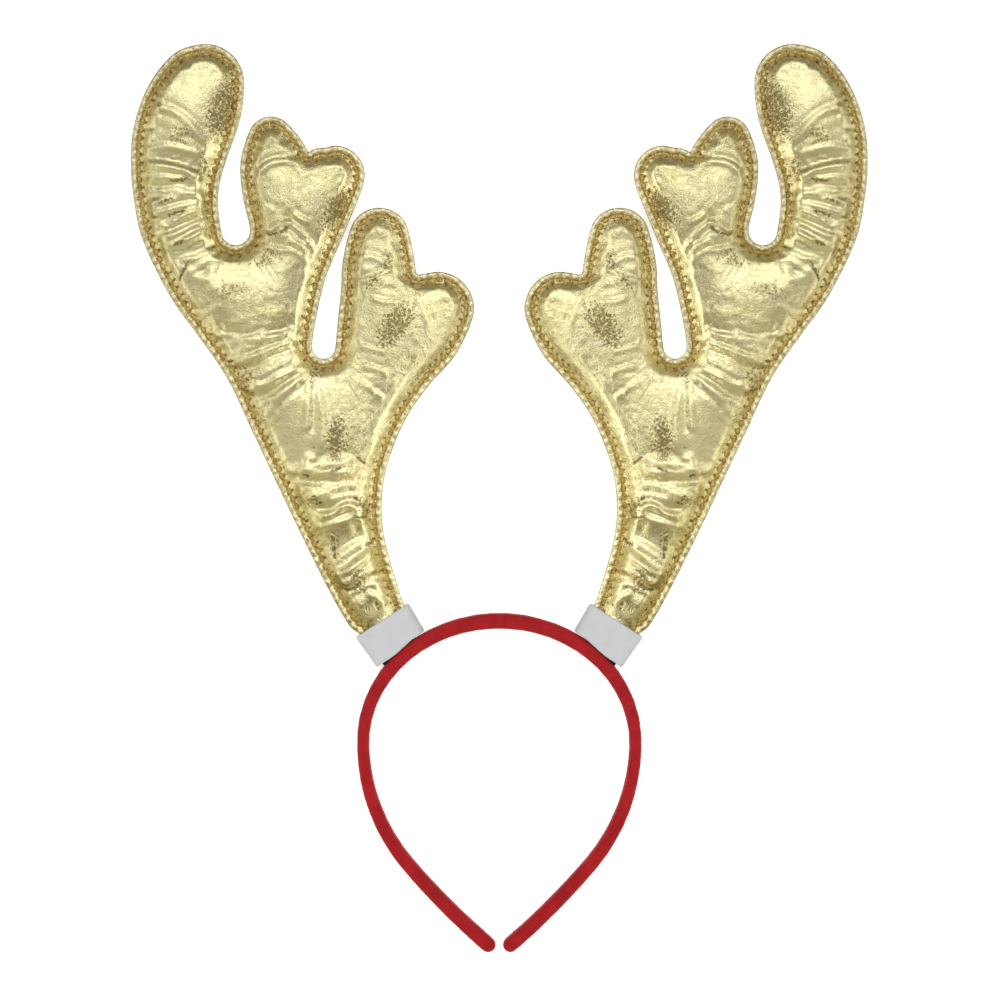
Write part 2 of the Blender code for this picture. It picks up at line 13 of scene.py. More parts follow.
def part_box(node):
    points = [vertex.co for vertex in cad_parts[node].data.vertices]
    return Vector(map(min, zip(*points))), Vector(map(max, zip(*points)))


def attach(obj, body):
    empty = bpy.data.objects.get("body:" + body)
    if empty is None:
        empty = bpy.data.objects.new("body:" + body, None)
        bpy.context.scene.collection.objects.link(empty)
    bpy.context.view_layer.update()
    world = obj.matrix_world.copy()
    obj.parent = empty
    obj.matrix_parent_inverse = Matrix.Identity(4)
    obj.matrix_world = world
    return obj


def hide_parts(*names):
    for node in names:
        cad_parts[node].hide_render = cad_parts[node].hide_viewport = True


MM = 0.001
SEED = 7

# Reading the CAD: points nearer than SAME_PLACE are one, and rim faces have a flatter normal than RIM_NORMAL
SAME_PLACE = 1e-6
RIM_NORMAL = 0.02
LOOP_PARTS = 12
PATH_PARTS = 5
TILT_STEP = 0.25

# Seam round the antler, measured in from its edge
SEAM_WIDTH = 3.0 * MM
SEAM_KEPT = 0.96
SEAM_ROUNDS = 3
EDGE_STEP = 0.7 * MM
STITCH_STEP = 0.62 * MM
GROOVE_HEIGHT = 0.25 * MM
GROOVE_WIDTH = 3.0 * MM
SEAM_SWELL = 0.16
RIM_ROLL = 0.10
RIM_WRINKLE = 0.45
SEAM_PROFILE = (
    # share of the seam's width from the edge, height over the seam plane in mm
    (0.00, 0.00),
    (0.03, 0.34),
    (0.11, 0.58),
    (0.26, 0.76),
    (0.45, 0.82),
    (0.63, 0.76),
    (0.78, 0.54),
    (0.90, 0.30),
)

# Cloth of the antlers
CLOTH_STEP = 1.35 * MM
FIELD_MARGIN = 0.6
SIM_SCALE = 100.0
SIM_FRAMES = 50
SIM_PRESSURE = 0.25
GROW_ALONG = 1.16
GROW_ACROSS = 1.10
CLOTH_STIFFNESS = 200
CLOTH_BENDING = 0.001
BASE_ROUNDS = 16

# Padding under the cloth, and how much of the cloth's puckers it keeps
FRONT_CROWN = 8.6 * MM
CROWN_START = 0.7
CROWN_ROUNDS = 400
SHOULDER = 9.0 * MM
BACK_SHARE = 0.8
BACK_TOP = 5.6 * MM
BACK_SHARPNESS = 5.0
PUCKERS = 0.8
PUCKERS_BACK = 0.5
PUCKERS_FROM_SEAM = (1.0 * MM, 6.0 * MM)

# The antler's foot, low inside the cuff. A ramp is where past the cuff's mouth a change starts and ends
FOOT_TOP = 4.6 * MM
FOOT_ROOM = 8.0 * MM
FOOT_SHARPNESS = 6.0
FOOT_RISE = 4.3 * MM
FOOT_SHOULDER = 3.2 * MM
FOOT_PUCKERS = 0.25
STEM_SWELL = 0.42
ROOM_RAMP = (0.5 * MM, 13.0 * MM)
GATHER_RAMP = (-1.0 * MM, 13.0 * MM)
PUCKERS_RAMP = (0.0, 6.0 * MM)
SWELL_RAMP = (8.0 * MM, 72.0 * MM)
RELIEF_RAMP = (0.0, 3.0 * MM)

# Relief laid on the cloth
RELIEF_START = 1.6 * MM
FOLD_SCALE = 0.88
FOLD_SPREAD = 1.3
FOLD_REACH = 4
FOLD_FADE = 0.12
FOLD_GROOVE = 0.55
FOLD_GROOVE_AWAY = 1.6
FOLD_GROOVE_WIDTH = 0.8
CREASE_WIDTH = 0.75 * MM
CREASE_DEPTH = 0.20 * MM
CREASE_STRENGTH = 1.3
CREASE_REACH = 3
CREASE_FADE = 0.3
CRINKLE_HEIGHT = 0.20 * MM
CRINKLE_CALM = 0.25
CRINKLE_START = 3.0 * MM
CRINKLE_RIDGED = 0.7
CRINKLE_SMALL = 0.45
PATCH_EDGE = (0.25, 1.15)

# Puckers that the stitches draw into the cloth: small ones at each stitch and broad ones over a few
CRIMP_HEIGHT = 0.34 * MM
CRIMP_START = 0.9 * MM
CRIMP_REACH = 2.6 * MM
CRIMP_CALM = 0.45
CRIMP_LEAN = 0.45
CRIMP_WANDER = 0.8
BROAD_CRIMP = 0.8
BROAD_CRIMP_REACH = 5.5 * MM
BROAD_CRIMP_STITCHES = 2.3
BROAD_CRIMP_WANDER = 4.0
BACK_CRIMP = 0.5
BACK_GAP = 0.1 * MM
# The ticks are dark marks of painted shade just inside the stitches
TICK_AWAY = 1.8 * MM
TICK_WIDTH = 0.9 * MM
TICK_WANDER = 0.9
TICK_SCATTER = 0.8
TICK_LEVELS = (0.1, 0.8)

# Stitches
STITCH_PITCH = 3.5 * MM
STITCH_LENGTH = 3.1 * MM
STITCH_RADIUS = 1.02 * MM
STITCH_RISE = 0.18 * MM
STITCH_LIFT = 0.02 * MM
STITCH_SHIFT = -0.14
STITCH_RINGS = 7
STITCH_SIDES = 6
STITCH_TAPER = ((-1.0, 0.50), (-0.75, 0.90), (0.0, 1.0), (0.75, 0.90), (1.0, 0.50))

# Cuffs: how far the outer lower corner hangs past the CAD sleeve, and over which shares of the sleeve's
# half width and half height that starts and is full
HEM_DROP = 1.9 * MM
HEM_ACROSS = (-0.75, 0.45)
HEM_DOWN = (0.1, 0.9)

# Material slots on the antler skin, after the panel's foil
RIM_SLOT = 1
GROOVE_SLOT = 2

# Colours
FOIL_PALE = (0.80, 0.735, 0.42)
FOIL_DEEP = (0.72, 0.65, 0.34)
# The rim's fine mottle is painted speckle of highlight and shade over the foil's own tone
RIM_PALE = (0.83, 0.76, 0.45)
RIM_DEEP = (0.50, 0.41, 0.18)
# Painted shade of the seam's groove: amber standing in for the shade beside the stitches
GROOVE_SHADE_PALE = (0.66, 0.49, 0.17)
GROOVE_SHADE_DEEP = (0.36, 0.22, 0.06)
THREAD = (0.46, 0.33, 0.085)
THREAD_DEEP = (0.20, 0.105, 0.025)
THREAD_PALE = (0.62, 0.50, 0.17)
BAND_RED = (0.37, 0.0135, 0.018)
SHEEN = (0.95, 0.45, 0.42)
CUFF_WHITE = (0.580, 0.598, 0.635)
PAD_BLACK = (0.010, 0.0095, 0.010)
PAD_DEEP = (0.003, 0.003, 0.0035)
# Painted shade: the dark specks in the creases and creased patches
CREASE_SHADE = (0.20, 0.14, 0.045)

# Painted light: how much brighter the foil is at the foot and darker from the palm up, and the heights in mm
# between which that changes
FOIL_PAINTED_LIGHT = (1.18, 0.94)
FOIL_PAINTED_LIGHT_AT = (-10.0, 90.0)

# Panel foil: how amber the painted shade is by nearness to the stitches, how dark the painted shade specks
# are by noise with the creased places added, and the crackle's height against the grain's
SEAM_PAINTED_SHADE = ((0.00, 0.0), (0.55, 0.05), (0.75, 0.85), (1.00, 1.0))
CREASE_SHADE_SHARE = ((0.61, 0.0), (0.69, 0.85))
CREASE_SHADE_GAIN = 0.22
CRACKLE = 2.2
CRACKLE_GAIN = 2.0
CRACKLE_PATCHES = ((0.40, 0.25), (0.62, 1.0))
FOIL_RELIEF = 0.30 * MM
RIM_RELIEF = 0.19 * MM

# Camera
PICTURE_WIDTH = 0.420
PICTURE_MIDDLE = (0.0003, -0.0008)
OBJECT_LEVEL = 6.0 * MM
LENS = 150.0
SENSOR = 36.0

# Floor and lights. Only the overhead light falls on matt things, and only the others show in the foil
FLOOR_GLOW = 0.55
FLOOR_HALF = 12.0
SKY_TILT = 25.0
SKY = (
    # cosine of the angle from the sky's bright spot, colour or grey
    (-1.00, (0.14, 0.10, 0.045)),
    (-0.52, (0.16, 0.12, 0.055)),
    (-0.34, (0.52, 0.47, 0.32)),
    (0.06, (0.60, 0.56, 0.42)),
    (0.18, (0.42, 0.38, 0.26)),
    (0.42, (0.11, 0.075, 0.030)),
    (0.64, (0.11, 0.075, 0.030)),
    (0.82, (0.18, 0.17, 0.15)),
    (0.906, 0.54),
    (0.96, 1.15),
    (1.00, 1.85),
)
OVERHEAD = ((0.0, -0.3, 2.4), (0.0, 0.0, 0.0), (3.0, 3.0), 55.0)
BACK_WING = ((0.0, 0.60, 0.19), (0.0, 0.0, 0.19), (1.0, 0.32), 0.24)
SIDE_LIGHTS = {
    # place, aim, size and power of the right one of each pair
    "softbox": ((0.322, 0.13, 0.13), (0.322, 0.13, 0.0), (0.596, 0.46), 0.34),
    "strip": ((0.004, 0.06, 0.0675), (1.0, 0.06, 0.0675), (0.36, 0.075), 0.075),
    "wing": ((0.46, 0.06, 0.19), (0.0, 0.06, 0.19), (0.60, 0.32), 0.32),
}

# Folds of both antlers: the path in mm from the middle of the band outward and up, width and height in mm
FOLDS = (
    # broad swells under the folds
    (((148, 137), (136, 137), (124, 133)), 3.0, 0.75),
    (((147, 121), (135, 123), (122, 124)), 3.0, 0.85),
    (((143, 107), (132, 110), (120, 116)), 3.0, 0.75),
    (((117, 57), (103, 60), (84, 64)), 3.6, 0.75),
    (((112, 46), (98, 49), (82, 56)), 3.4, 0.85),
    (((104, 34), (94, 38), (82, 46)), 3.2, 0.65),
    (((84, 14), (72, 10), (58, 14)), 3.4, 1.35),
    (((86, 4), (74, 0), (64, -2), (54, -4)), 3.6, 1.60),
    (((77, -9), (65, -10), (54, -7)), 2.8, 1.30),
    (((73, -35), (62, -31), (50, -24)), 5.2, 2.10),
    (((65, -46), (56, -43), (47, -37)), 3.2, 1.35),
    # outer tine
    (((146, 164), (137, 162), (129, 156), (121, 147)), 1.3, 0.55),
    (((139, 153), (131, 149), (124, 144)), 1.1, 0.45),
    (((150, 145), (138, 147), (123, 143)), 1.2, 0.50),
    (((150, 140), (142, 139), (132, 136), (124, 134)), 1.4, 0.80),
    (((149, 132), (141, 134), (131, 133), (123, 133)), 1.2, 0.75),
    (((149, 129), (141, 128), (131, 130), (122, 130)), 1.2, 0.80),
    (((148, 123), (139, 125), (131, 127), (122, 127)), 1.4, 1.00),
    (((147, 118), (139, 120), (131, 122), (121, 124)), 1.3, 0.90),
    (((147, 114), (138, 114), (129, 119), (121, 120)), 1.5, 1.10),
    (((144, 108), (136, 110), (128, 114), (120, 117)), 1.4, 0.90),
    (((142, 104), (134, 107), (125, 111), (119, 113)), 1.3, 0.80),
    (((134, 99), (126, 101), (118, 105)), 1.2, 0.60),
    (((138, 98), (129, 94), (122, 90)), 1.6, 0.40),
    # middle tine
    (((102, 135), (96, 140), (88, 141), (81, 140)), 1.2, 0.75),
    (((102, 125), (96, 121), (88, 115)), 1.1, 0.45),
    (((101, 112), (95, 110), (91, 114), (86, 116)), 1.0, 0.60),
    (((96, 117), (89, 115), (84, 112), (77, 104)), 1.1, 0.60),
    (((91, 125), (85, 118), (79, 115)), 1.0, 0.45),
    (((102, 108), (96, 110), (91, 111), (86, 108), (79, 99)), 1.2, 0.80),
    (((102, 106), (92, 104), (85, 103), (78, 95)), 1.0, 0.55),
    (((90, 108), (83, 106), (78, 108)), 0.9, 0.45),
    # palm
    (((117, 101), (121, 94), (120, 85)), 1.8, 0.45),
    (((128, 77), (122, 78), (116, 81)), 1.0, 0.40),
    (((125, 71), (116, 68), (106, 67), (96, 70)), 1.1, 0.60),
    (((119, 64), (109, 65), (99, 67), (91, 68), (82, 72)), 1.2, 0.70),
    (((116, 55), (106, 58), (96, 62), (82, 67)), 1.4, 0.80),
    (((114, 50), (102, 52), (94, 57), (81, 61)), 1.5, 1.05),
    (((110, 44), (99, 47), (91, 51), (81, 55)), 1.4, 0.95),
    (((106, 38), (96, 41), (88, 47), (80, 52)), 1.4, 0.85),
    (((80, 51), (80, 38), (81, 27)), 1.3, 0.60),
    (((78, 50), (74, 35), (74, 24), (79, 17), (88, 15)), 1.6, 0.60),
    # inner tine
    (((61, 100), (54, 101), (45, 97), (38, 92)), 1.2, 0.55),
    (((61, 90), (54, 92), (46, 95)), 1.0, 0.45),
    (((44, 93), (40, 90), (36, 90)), 1.2, 0.70),
    (((37, 90), (34, 84), (29, 71)), 1.1, 0.50),
    (((59, 64), (52, 62), (47, 61)), 1.0, 0.45),
    (((58, 56), (52, 54), (46, 52)), 1.0, 0.50),
    (((59, 49), (53, 45), (48, 41)), 1.0, 0.45),
    (((54, 84), (48, 82), (42, 82)), 0.9, 0.40),
    # stem
    (((88, 12), (79, 11), (68, 11), (56, 15)), 1.7, 1.15),
    (((86, 5), (77, 4), (67, 8), (59, 12)), 1.4, 0.90),
    (((82, 0), (74, 1), (65, 5), (54, 4)), 1.3, 0.85),
    (((79, -6), (71, -7), (63, -3), (52, -7)), 1.2, 0.85),
    (((68, -5), (62, -3), (59, -8), (52, -13)), 1.1, 0.75),
    (((76, -13), (68, -10), (59, -7)), 1.1, 0.65),
    (((70, -30), (65, -32), (56, -25), (50, -20)), 1.6, 1.10),
    (((68, -36), (61, -35), (53, -30), (48, -29)), 1.4, 0.90),
    (((66, -42), (59, -38), (51, -35), (45, -36)), 1.3, 0.80),
    (((56, -39), (51, -42), (47, -45)), 1.0, 0.60),
)

# Sharp creases, cut into the relief and darkened with painted shade: the path in mm, as for the folds
CREASES = (
    ((63, -6), (59, -8), (57, -8), (54, -7)),
    ((57, -20), (52, -18)),
    ((69, -18), (69, -27)),
    ((63, -36), (60, -32), (56, -29)),
    ((67, -39), (62, -38), (56, -36)),
    ((52, -43), (50, -48)),
    ((61, 18), (58, 16), (55, 13)),
    ((71, 11), (65, 13)),
    ((83, 10), (79, 9)),
    ((62, 1), (57, -2)),
    ((140, 133), (134, 133), (127, 134)),
    ((144, 123), (135, 126)),
    ((140, 118), (130, 121)),
    ((137, 106), (131, 108)),
    ((135, 90), (129, 101)),
    ((100, 110), (92, 111), (87, 115)),
    ((117, 56), (110, 58)),
    ((110, 45), (104, 47)),
)

# Patches of fine creases, crackled and darkened with painted shade specks: middle in mm as for the folds,
# half length and half width in mm,
# turn in degrees, strength
PATCHES = (
    ((116, 163), 19, 8.0, 106, 1.00),
    ((134, 152), 7, 5.0, 160, 0.60),
    ((124, 139), 6, 5.0, 100, 0.65),
    ((69, 121), 14, 6.0, 120, 1.00),
    ((43, 73), 16, 9.0, 125, 0.85),
    ((52, 91), 7, 5.0, 120, 0.60),
    ((47, 100), 6, 4.0, 90, 0.60),
    ((68, 25), 13, 6.5, 92, 0.90),
    ((76, 55), 11, 5.0, 110, 0.60),
    ((97, 101), 9, 5.0, 150, 0.55),
    ((112, 87), 10, 4.5, 170, 0.55),
    ((69, -19), 7, 3.0, 80, 0.75),
    ((57, -3), 6, 4.0, 60, 0.60),
    ((77, -1), 5, 4.0, 20, 0.60),
    ((58, -35), 8, 5.0, 90, 0.65),
    ((107, 52), 10, 4.0, 30, 0.50),
)


def new_object(name, mesh):
    obj = bpy.data.objects.new(name, mesh)
    bpy.context.scene.collection.objects.link(obj)
    return obj


def shade_smooth(mesh):
    mesh.polygons.foreach_set("use_smooth", np.ones(len(mesh.polygons), bool))


def merged_mesh(cad_node):
    """A bmesh of a CAD node with its split vertices joined again."""
    shape = bmesh.new()
    shape.from_mesh(cad_node.data)
    bmesh.ops.remove_doubles(shape, verts=shape.verts, dist=SAME_PLACE)
    return shape


def walked(links, start):
    """A closed loop's vertices in order from the start, by the links between neighbours."""
    loop = [start]
    previous, current = None, start
    while True:
        following = sorted(index for index in links[current] if index != previous)
        previous, current = current, following[0]
        if current == start:
            return loop
        loop.append(current)


def rim_loop(shape, seam_z):
    """The antler's edge in XY as an ordered loop, from the upper edges of its upright rim faces."""
    shape.verts.index_update()
    links = {}
    for face in shape.faces:
        if abs(face.normal.z) > RIM_NORMAL:
            continue
        for edge in face.edges:
            a, b = edge.verts
            upper = a.co.z > seam_z and b.co.z > seam_z
            level = abs(a.co.z - b.co.z) < SAME_PLACE
            if upper and level and (a.co - b.co).length > SAME_PLACE:
                links.setdefault(a.index, set()).add(b.index)
                links.setdefault(b.index, set()).add(a.index)
    places = {vert.index: vert.co for vert in shape.verts}
    start = min(links, key=lambda index: (places[index].y, places[index].x))
    points = np.array([places[index][:2] for index in walked(links, start)])
    x, y = points.T
    area = np.sum(x * np.roll(y, -1) - y * np.roll(x, -1))
    return points if area > 0 else np.roll(points[::-1], 1, axis=0)


def between(p, q, at_p, at_q, t):
    """The place at t on a straight line that passes p at at_p and q at at_q."""
    return (at_q - t) / (at_q - at_p) * p + (t - at_p) / (at_q - at_p) * q


def smooth_loop(points, step):
    """A centripetal Catmull-Rom line through a closed loop of points, then even steps along it."""
    fine = []
    count = len(points)
    for i in range(count):
        p = [points[(i + k) % count] for k in (-1, 0, 1, 2)]
        knots = np.cumsum([0.0] + [math.sqrt(np.hypot(*(b - a))) for a, b in zip(p, p[1:])])
        t = np.linspace(knots[1], knots[2], LOOP_PARTS, endpoint=False)[:, None]
        a = [between(p[k], p[k + 1], knots[k], knots[k + 1], t) for k in range(3)]
        b = [between(a[k], a[k + 1], knots[k], knots[k + 2], t) for k in range(2)]
        fine.append(between(b[0], b[1], knots[1], knots[2], t))
    return even_steps(np.concatenate(fine), step)


def even_steps(loop, step):
    """The closed loop again as an even number of points, at an even step near the one given."""
    closed = np.concatenate((loop, loop[:1]))
    length = np.concatenate(([0.0], np.cumsum(np.hypot(*np.diff(closed, axis=0).T))))
    count = 2 * round(length[-1] / step / 2)
    at = np.arange(count) * length[-1] / count
    return np.stack([np.interp(at, length, closed[:, k]) for k in (0, 1)], axis=1)


def nearest_on_loop(points, loop):
    """For each point: the loop's nearest place, how far away, whether inside, and how many steps along."""
    ends = np.roll(loop, -1, axis=0)
    best = np.full(len(points), np.inf)
    nearest = np.zeros((len(points), 2))
    place = np.zeros(len(points))
    inside = np.zeros(len(points), bool)
    for i, (a, b) in enumerate(zip(loop, ends)):
        line = b - a
        t = np.clip(((points - a) @ line) / (line @ line), 0, 1)
        found = a + t[:, None] * line
        away = np.hypot(*(points - found).T)
        closer = away < best
        best = np.where(closer, away, best)
        nearest[closer] = found[closer]
        place[closer] = i + t[closer]
        if a[1] != b[1]:
            crosses = (a[1] > points[:, 1]) != (b[1] > points[:, 1])
            inside ^= crosses & (points[:, 0] < a[0] + (points[:, 1] - a[1]) / line[1] * line[0])
    return nearest, best, inside, place


def stitch_line(outline):
    """The seam's inner edge in an even number of steps, and the outline's nearest place to each."""
    ahead = np.roll(outline, -1, axis=0) - np.roll(outline, 1, axis=0)
    inward = np.stack((-ahead[:, 1], ahead[:, 0]), axis=1) / np.hypot(*ahead.T)[:, None]
    line = outline + inward * SEAM_WIDTH
    _, away, inside, _ = nearest_on_loop(line, outline)
    line = line[inside & (away > SEAM_KEPT * SEAM_WIDTH)]
    for _ in range(SEAM_ROUNDS):
        line = even_steps(line, STITCH_STEP)
        nearest, away, _, _ = nearest_on_loop(line, outline)
        line = nearest + (line - nearest) * (SEAM_WIDTH / away)[:, None]
    return line, nearest


def hex_field(loop, step, margin):
    """A triangular field of points inside the loop, at least margin from it."""
    low, high = loop.min(axis=0), loop.max(axis=0)
    xs = np.arange(low[0], high[0], step)
    rows = []
    for j, y in enumerate(np.arange(low[1], high[1], step * math.sqrt(3) / 2)):
        rows.append(np.stack((xs + (j % 2) * step / 2, np.full(len(xs), y)), axis=1))
    field = np.concatenate(rows)
    _, away, inside, _ = nearest_on_loop(field, loop)
    return field[inside & (away > margin)]


def panel_faces(line, field):
    """Triangles over the stitch line and the field inside it. The points keep their order."""
    points = np.concatenate((line, field))
    count = len(line)
    rim = [(i, (i + 1) % count) for i in range(count)]
    inside_only, epsilon = 1, 1e-7
    made = delaunay_2d_cdt([Vector(p) for p in points], rim, [list(range(count))], inside_only, epsilon)
    order = [origin[0] for origin in made[3]]
    return points, np.array([[order[i] for i in face] for face in made[2]])


def node_heights(tree, points, seam_z):
    """How high the CAD antler's front stands over the seam plane at each point."""
    heights = np.zeros(len(points))
    for i, (x, y) in enumerate(points):
        hit = tree.ray_cast(Vector((x, y, 1.0)), Vector((0, 0, -1)))[0]
        heights[i] = max((hit.z if hit else seam_z) - seam_z, 0.0)
    return heights


def blown_cloth(obj, rest, pinned):
    """The cloth modifier of a panel that is pinned along its rim and blown up from below."""
    group = obj.vertex_groups.new(name="pin")
    group.add(list(range(pinned)), 1.0, "REPLACE")
    cloth = obj.modifiers.new("cloth", "CLOTH")
    settings = cloth.settings
    settings.quality = 5
    settings.mass = 0.01
    settings.air_damping = 1.0
    settings.tension_stiffness = CLOTH_STIFFNESS
    settings.compression_stiffness = CLOTH_STIFFNESS
    settings.shear_stiffness = 6
    settings.bending_stiffness = CLOTH_BENDING
    settings.tension_damping = 5
    settings.compression_damping = 5
    settings.shear_damping = 2
    settings.bending_damping = 0.2
    settings.vertex_group_mass = group.name
    settings.rest_shape_key = rest
    settings.use_pressure = True
    settings.uniform_pressure_force = SIM_PRESSURE
    settings.effector_weights.gravity = 0.0
    cloth.collision_settings.use_collision = False
    cloth.collision_settings.use_self_collision = False
    cloth.point_cache.frame_start = 1
    cloth.point_cache.frame_end = SIM_FRAMES + 1


def simulate_panel(points, faces, heights, pinned):
    """Cloth cut larger than the panel, sewn down at the stitch line and blown up from below."""
    start = np.column_stack((points, heights)) * SIM_SCALE
    mesh = bpy.data.meshes.new("panel")
    mesh.from_pydata(start.tolist(), [], faces.tolist())
    obj = new_object("panel", mesh)
    obj.shape_key_add(name="Basis")
    cut = obj.shape_key_add(name="cut")
    middle = start.mean(axis=0)
    flat = (start - middle) * (GROW_ACROSS, GROW_ALONG, 0.0) + middle
    cut.data.foreach_set("co", flat.astype(np.float32).ravel())
    cut.value = 0.0
    blown_cloth(obj, cut, pinned)
    scene = bpy.context.scene
    for frame_number in range(1, SIM_FRAMES + 1):
        scene.frame_set(frame_number)
    graph = bpy.context.evaluated_depsgraph_get()
    result = np.empty(len(points) * 3, np.float32)
    obj.evaluated_get(graph).data.vertices.foreach_get("co", result)
    scene.frame_set(1)
    bpy.data.objects.remove(obj)
    return result.reshape(-1, 3).astype(float) / SIM_SCALE


def face_edges(faces):
    """Every edge once, and for each face its three edges' places in that list."""
    sides = np.concatenate((faces[:, [0, 1]], faces[:, [1, 2]], faces[:, [2, 0]]))
    edges, which = np.unique(np.sort(sides, axis=1), axis=0, return_inverse=True)
    return edges, which.reshape(3, -1)


def neighbour_sum(values, edges):
    a, b = edges.T
    return np.bincount(a, values[b], len(values)) + np.bincount(b, values[a], len(values))


def evened(values, edges, fixed, rounds):
    """Values averaged with their neighbours' a number of times. The first ones, the rim's, stay."""
    degree = np.bincount(edges.ravel(), minlength=len(values))
    for _ in range(rounds):
        even = neighbour_sum(values, edges) / degree
        even[:fixed] = values[:fixed]
        values = even
    return values


def crowned(edges, pinned, step):
    """A padded form: level in its middle, falling round a soft shoulder to the sewn line."""
    degree = np.bincount(edges.ravel())
    pull = 4 * (SHOULDER / step) ** 2
    height = np.full(len(degree), CROWN_START * FRONT_CROWN)
    height[:pinned] = 0.0
    for _ in range(CROWN_ROUNDS):
        height = (pull * neighbour_sum(height, edges) / degree + FRONT_CROWN) / (pull + 1)
        height[:pinned] = 0.0
    return height + GROOVE_HEIGHT


def soft_top(values, top, sharpness):
    """Values that level off towards top."""
    return values / (1 + (np.maximum(values, 0) / top) ** sharpness) ** (1 / sharpness)


def smooth_step(values, low, high):
    t = np.clip((values - low) / (high - low), 0, 1)
    return t * t * (3 - 2 * t)


def perlin(columns, feature, seed):
    """Seeded noise of about -1 to 1 at each point, with bumps of the feature's size."""
    scaled = np.column_stack(columns) / feature + (SEED + seed)
    if scaled.shape[1] == 1:
        scaled = np.column_stack((scaled, np.full(len(scaled), seed)))
    return np.array([noise.noise((x, y, seed)) for x, y in scaled])


def bowed(points):
    """A Catmull-Rom line through a few open points."""
    padded = np.concatenate(([2 * points[0] - points[1]], points, [2 * points[-1] - points[-2]]))
    t = np.linspace(0, 1, PATH_PARTS, endpoint=False)[:, None]
    fine = []
    for p0, p1, p2, p3 in zip(padded, padded[1:], padded[2:], padded[3:]):
        linear = (p2 - p0) * t
        square = (2 * p0 - 5 * p1 + 4 * p2 - p3) * t**2
        cube = (3 * p1 - p0 - 3 * p2 + p3) * t**3
        fine.append(0.5 * (2 * p1 + linear + square + cube))
    return np.concatenate(fine + [points[-1:]])


def path_place(points, path, reach):
    """Which points lie within reach of a path, how far to its left, and how far along it from 0 to 1."""
    path = bowed(np.array(path, float) * MM)
    low, high = path.min(axis=0) - reach, path.max(axis=0) + reach
    near = np.all((points > low) & (points < high), axis=1)
    chosen = points[near]
    best = np.full(len(chosen), np.inf)
    across = np.zeros(len(chosen))
    along = np.zeros(len(chosen))
    for i, (a, b) in enumerate(zip(path, path[1:])):
        line = b - a
        t = np.clip(((chosen - a) @ line) / (line @ line), 0, 1)
        away = chosen - a - t[:, None] * line
        distance = np.hypot(*away.T)
        closer = distance < best
        best = np.where(closer, distance, best)
        side = np.sign(line[0] * away[:, 1] - line[1] * away[:, 0])
        across = np.where(closer, side * distance, across)
        along = np.where(closer, (i + t) / (len(path) - 1), along)
    return near, across, along


def faded_ends(along, share):
    """1 along the middle of a path, falling to 0 over that share of it at both ends."""
    return smooth_step(along, 0.0, share) * smooth_step(1 - along, 0.0, share)


def fold_relief(points, path, width, height):
    """A ridge with a groove beside it along a path, fading at both ends."""
    near, across, along = path_place(points, path, FOLD_REACH * width)
    ridge = np.exp(-((across / width) ** 2))
    beside = (across + FOLD_GROOVE_AWAY * width) / (FOLD_GROOVE_WIDTH * width)
    relief = np.zeros(len(points))
    relief[near] = height * (ridge - FOLD_GROOVE * np.exp(-(beside**2))) * faded_ends(along, FOLD_FADE)
    return relief


def crease_strength(points):
    """How strongly each point lies in one of the sharp creases, which painted shade darkens."""
    strength = np.zeros(len(points))
    for path in CREASES:
        near, across, along = path_place(points, path, CREASE_REACH * CREASE_WIDTH)
        line = CREASE_STRENGTH * np.exp(-((across / CREASE_WIDTH) ** 2))
        strength[near] = np.maximum(strength[near], line * faded_ends(along, CREASE_FADE))
    return strength


def patch_strength(points):
    """How strongly each point lies in one of the creased patches, which painted shade specks darken."""
    strength = np.zeros(len(points))
    for middle, length, width, degrees, full in PATCHES:
        turn = math.radians(degrees)
        along = np.array((math.cos(turn), math.sin(turn)))
        away = points - np.array(middle) * MM
        u = away @ along / (length * MM)
        v = away @ (-along[1], along[0]) / (width * MM)
        strength = np.maximum(strength, full * (1 - smooth_step(np.hypot(u, v), *PATCH_EDGE)))
    return strength


def seam_crimps(place, away):
    """Small puckers that the stitching draws into the cloth beside the seam."""
    run = place * STITCH_STEP
    wander = perlin([run], 9 * MM, seed=3.1)
    strength = CRIMP_CALM + (1 - CRIMP_CALM) * np.abs(perlin([run], 11 * MM, seed=5.7))
    lean = run + CRIMP_LEAN * away * perlin([run], 17 * MM, seed=8.3)
    short = -np.cos(2 * np.pi * lean / STITCH_PITCH + CRIMP_WANDER * wander)
    long_pitch = BROAD_CRIMP_STITCHES * STITCH_PITCH
    long = np.sin(2 * np.pi * lean / long_pitch + BROAD_CRIMP_WANDER * wander)
    fine = short * strength * np.exp(-away / CRIMP_REACH)
    broad = long * strength * np.exp(-away / BROAD_CRIMP_REACH)
    height = CRIMP_HEIGHT * fine + BROAD_CRIMP * CRIMP_HEIGHT * broad
    return smooth_step(away, 0.0, CRIMP_START) * height


def seam_ticks(place, away):
    """How strongly painted shade marks short dark puckers just inside the stitches, stronger in some
    stretches.
    """
    run = place * STITCH_STEP
    wander = TICK_WANDER * perlin([run], 8 * MM, seed=4.7)
    wave = np.cos(2 * np.pi * run / STITCH_PITCH + wander) + TICK_SCATTER * perlin([run], 3 * MM, seed=2.2)
    strength = 0.8 + 0.9 * np.abs(perlin([run], 14 * MM, seed=7.9))
    return strength * smooth_step(wave, *TICK_LEVELS) * np.exp(-(((away - TICK_AWAY) / TICK_WIDTH) ** 2))


def crinkle(points, away):
    """Light creasing of the foil, stronger in some areas."""
    area = smooth_step(perlin(points.T, 26 * MM, seed=1.3), -0.25, 0.35)
    ridged = 1 - 2 * np.abs(perlin(points.T, 5.5 * MM, seed=2.9))
    small = perlin(points.T, 2.3 * MM, seed=4.4)
    height = smooth_step(away, 0.0, CRINKLE_START) * CRINKLE_HEIGHT
    share = CRINKLE_CALM + (1 - CRINKLE_CALM) * area
    return height * share * (CRINKLE_RIDGED * ridged + CRINKLE_SMALL * small)


